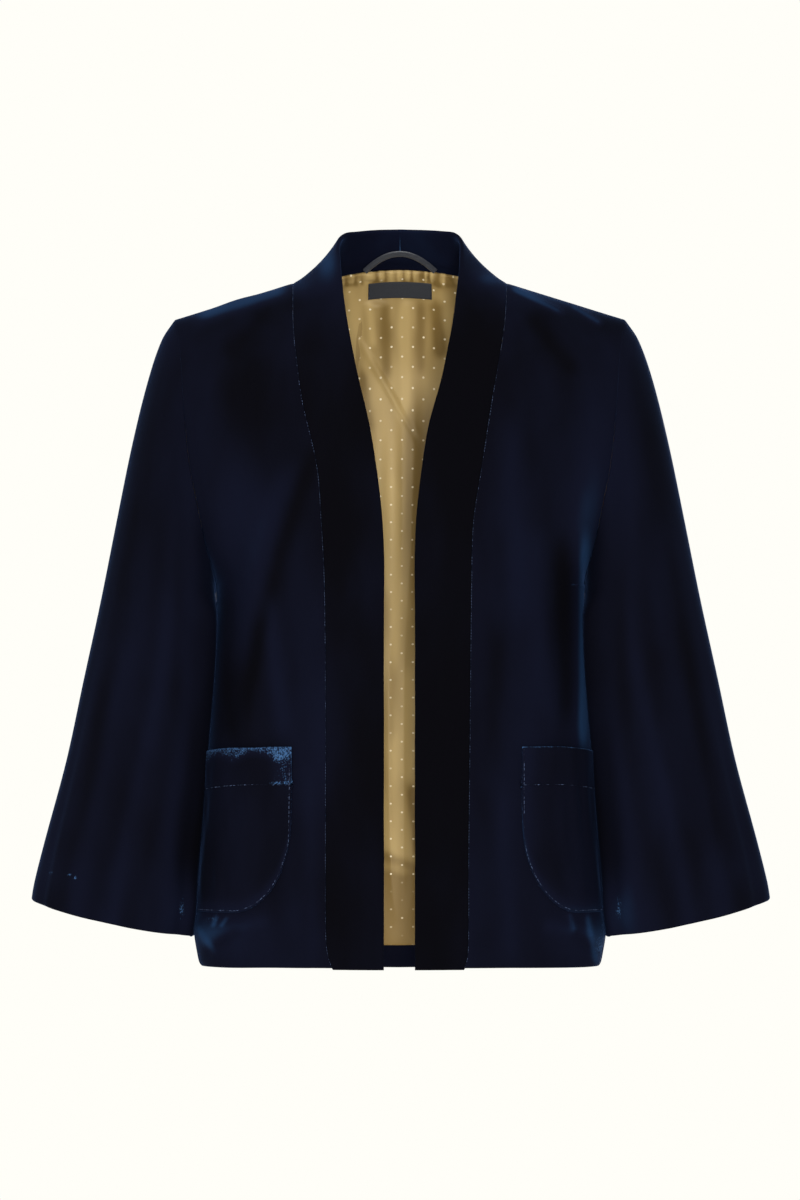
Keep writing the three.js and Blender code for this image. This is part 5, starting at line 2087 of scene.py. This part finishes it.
@dataclass
class Studio:
    """A plain pale studio: a level camera in front, soft lights, a pale floor and backdrop."""

    camera_distance: float = 8.0
    frame_height: float = 1.044
    middle_z: float = -0.2758
    sensor: float = 24
    far: float = 100
    floor_z: float = -0.98
    floor_colours: tuple[Colour, Colour] = ((0.84, 0.835, 0.80), (0.88, 0.875, 0.84))
    backdrop: Colour = (1.0, 0.991, 0.939)
    fill_colour: Colour = (0.96, 0.97, 1)
    fill: float = 0.3
    lamps: tuple[Lamp, ...] = (
        Lamp("front", (0.2, -6.0, -0.1), (0, 0, -0.25), 1.0, 330),
        Lamp("key", (-2.6, -3.4, 1.9), (0, 0, -0.25), 2.2, 45),
        Lamp("left", (-3.4, 0.4, 0.6), (0, 0, -0.25), 1.8, 22),
        Lamp("right", (3.4, 0.4, 0.4), (0, 0, -0.25), 1.8, 22),
        Lamp("top", (-0.2, -0.4, 3.2), (0, 0, -0.1), 2.0, 40),
        Lamp("behind", (0.3, 4.8, -0.2), (0, 0, -0.25), 2.2, 230),
    )

    def camera(self) -> None:
        """Puts the camera in front of the jacket, level, as in the photograph."""
        camera = bpy.data.objects.new("camera", bpy.data.cameras.new("camera"))
        camera.data.sensor_fit = "VERTICAL"
        camera.data.sensor_height = self.sensor
        camera.data.lens = self.sensor * self.camera_distance / self.frame_height
        camera.data.clip_end = self.far
        camera.location = (0, -self.camera_distance, self.middle_z)
        camera.rotation_euler = (math.pi / 2, 0, 0)
        bpy.context.scene.collection.objects.link(camera)
        bpy.context.scene.camera = camera

    def light(self) -> None:
        """Adds the lamps and a world that is pale behind and softer as a light."""
        for lamp in self.lamps:
            lamp.build()
        world = bpy.data.worlds.new("studio")
        world.use_nodes = True
        tree = world.node_tree
        tree.nodes.clear()
        both = tree.nodes.new("ShaderNodeMixShader")
        path = tree.nodes.new("ShaderNodeLightPath")
        tree.links.new(path.outputs["Is Camera Ray"], both.inputs[0])
        for socket, (colour, strength) in enumerate(((self.fill_colour, self.fill), (self.backdrop, 1))):
            ground = tree.nodes.new("ShaderNodeBackground")
            ground.inputs["Color"].default_value = (*colour, 1)
            ground.inputs["Strength"].default_value = strength
            tree.links.new(ground.outputs[0], both.inputs[socket + 1])
        out = tree.nodes.new("ShaderNodeOutputWorld")
        tree.links.new(both.outputs[0], out.inputs["Surface"])
        bpy.context.scene.world = world
        bpy.context.scene.view_settings.view_transform = "Standard"

    def floor(self) -> None:
        """Adds a pale floor well below the hem."""
        x, y = np.meshgrid([-3.0, 3.0], [-3.0, 1.4])
        points = grid_of(x, y, self.floor_z).reshape(-1, 3)
        faces = np.array([[0, 1, 3, 2]])
        mesh = mesh_of("floor", points, faces, points[faces][..., :2], np.zeros(1))
        nodes = Nodes("pale_floor")
        colour = nodes.blend(nodes.noise(nodes.place(), 3, 2), *self.floor_colours)
        mesh.materials.append(nodes.finish({"Base Color": colour, "Roughness": 0.9}))
        floor = bpy.data.objects.new("floor", mesh)
        bpy.context.scene.collection.objects.link(floor)


def plain(corner: object) -> list[float]:
    """A corner as a plain list of numbers."""
    return [round(float(value), 6) for value in corner]


def main() -> None:
    """Builds the studio and every piece of the jacket, and notes the sizes."""
    logging.basicConfig(level=logging.INFO, format="%(message)s")
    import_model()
    studio = Studio()
    studio.camera()
    studio.light()
    studio.floor()
    finishes = Finishes.made()
    cut = BodyCut()
    back = BackPanel(cut)
    back.build(finishes)
    BackLining(back).build(finishes)
    for side in Side:
        front = FrontPanel(side, cut)
        front.build(finishes)
        Sleeve(side, cut).build(finishes)
        CollarBand(side, cut, front, back).build(finishes)
        PatchPocket(side, front).build(finishes)
    HangingLoop().build(finishes)
    Label(cut).build(finishes)


if __name__ == "__main__":
    main()
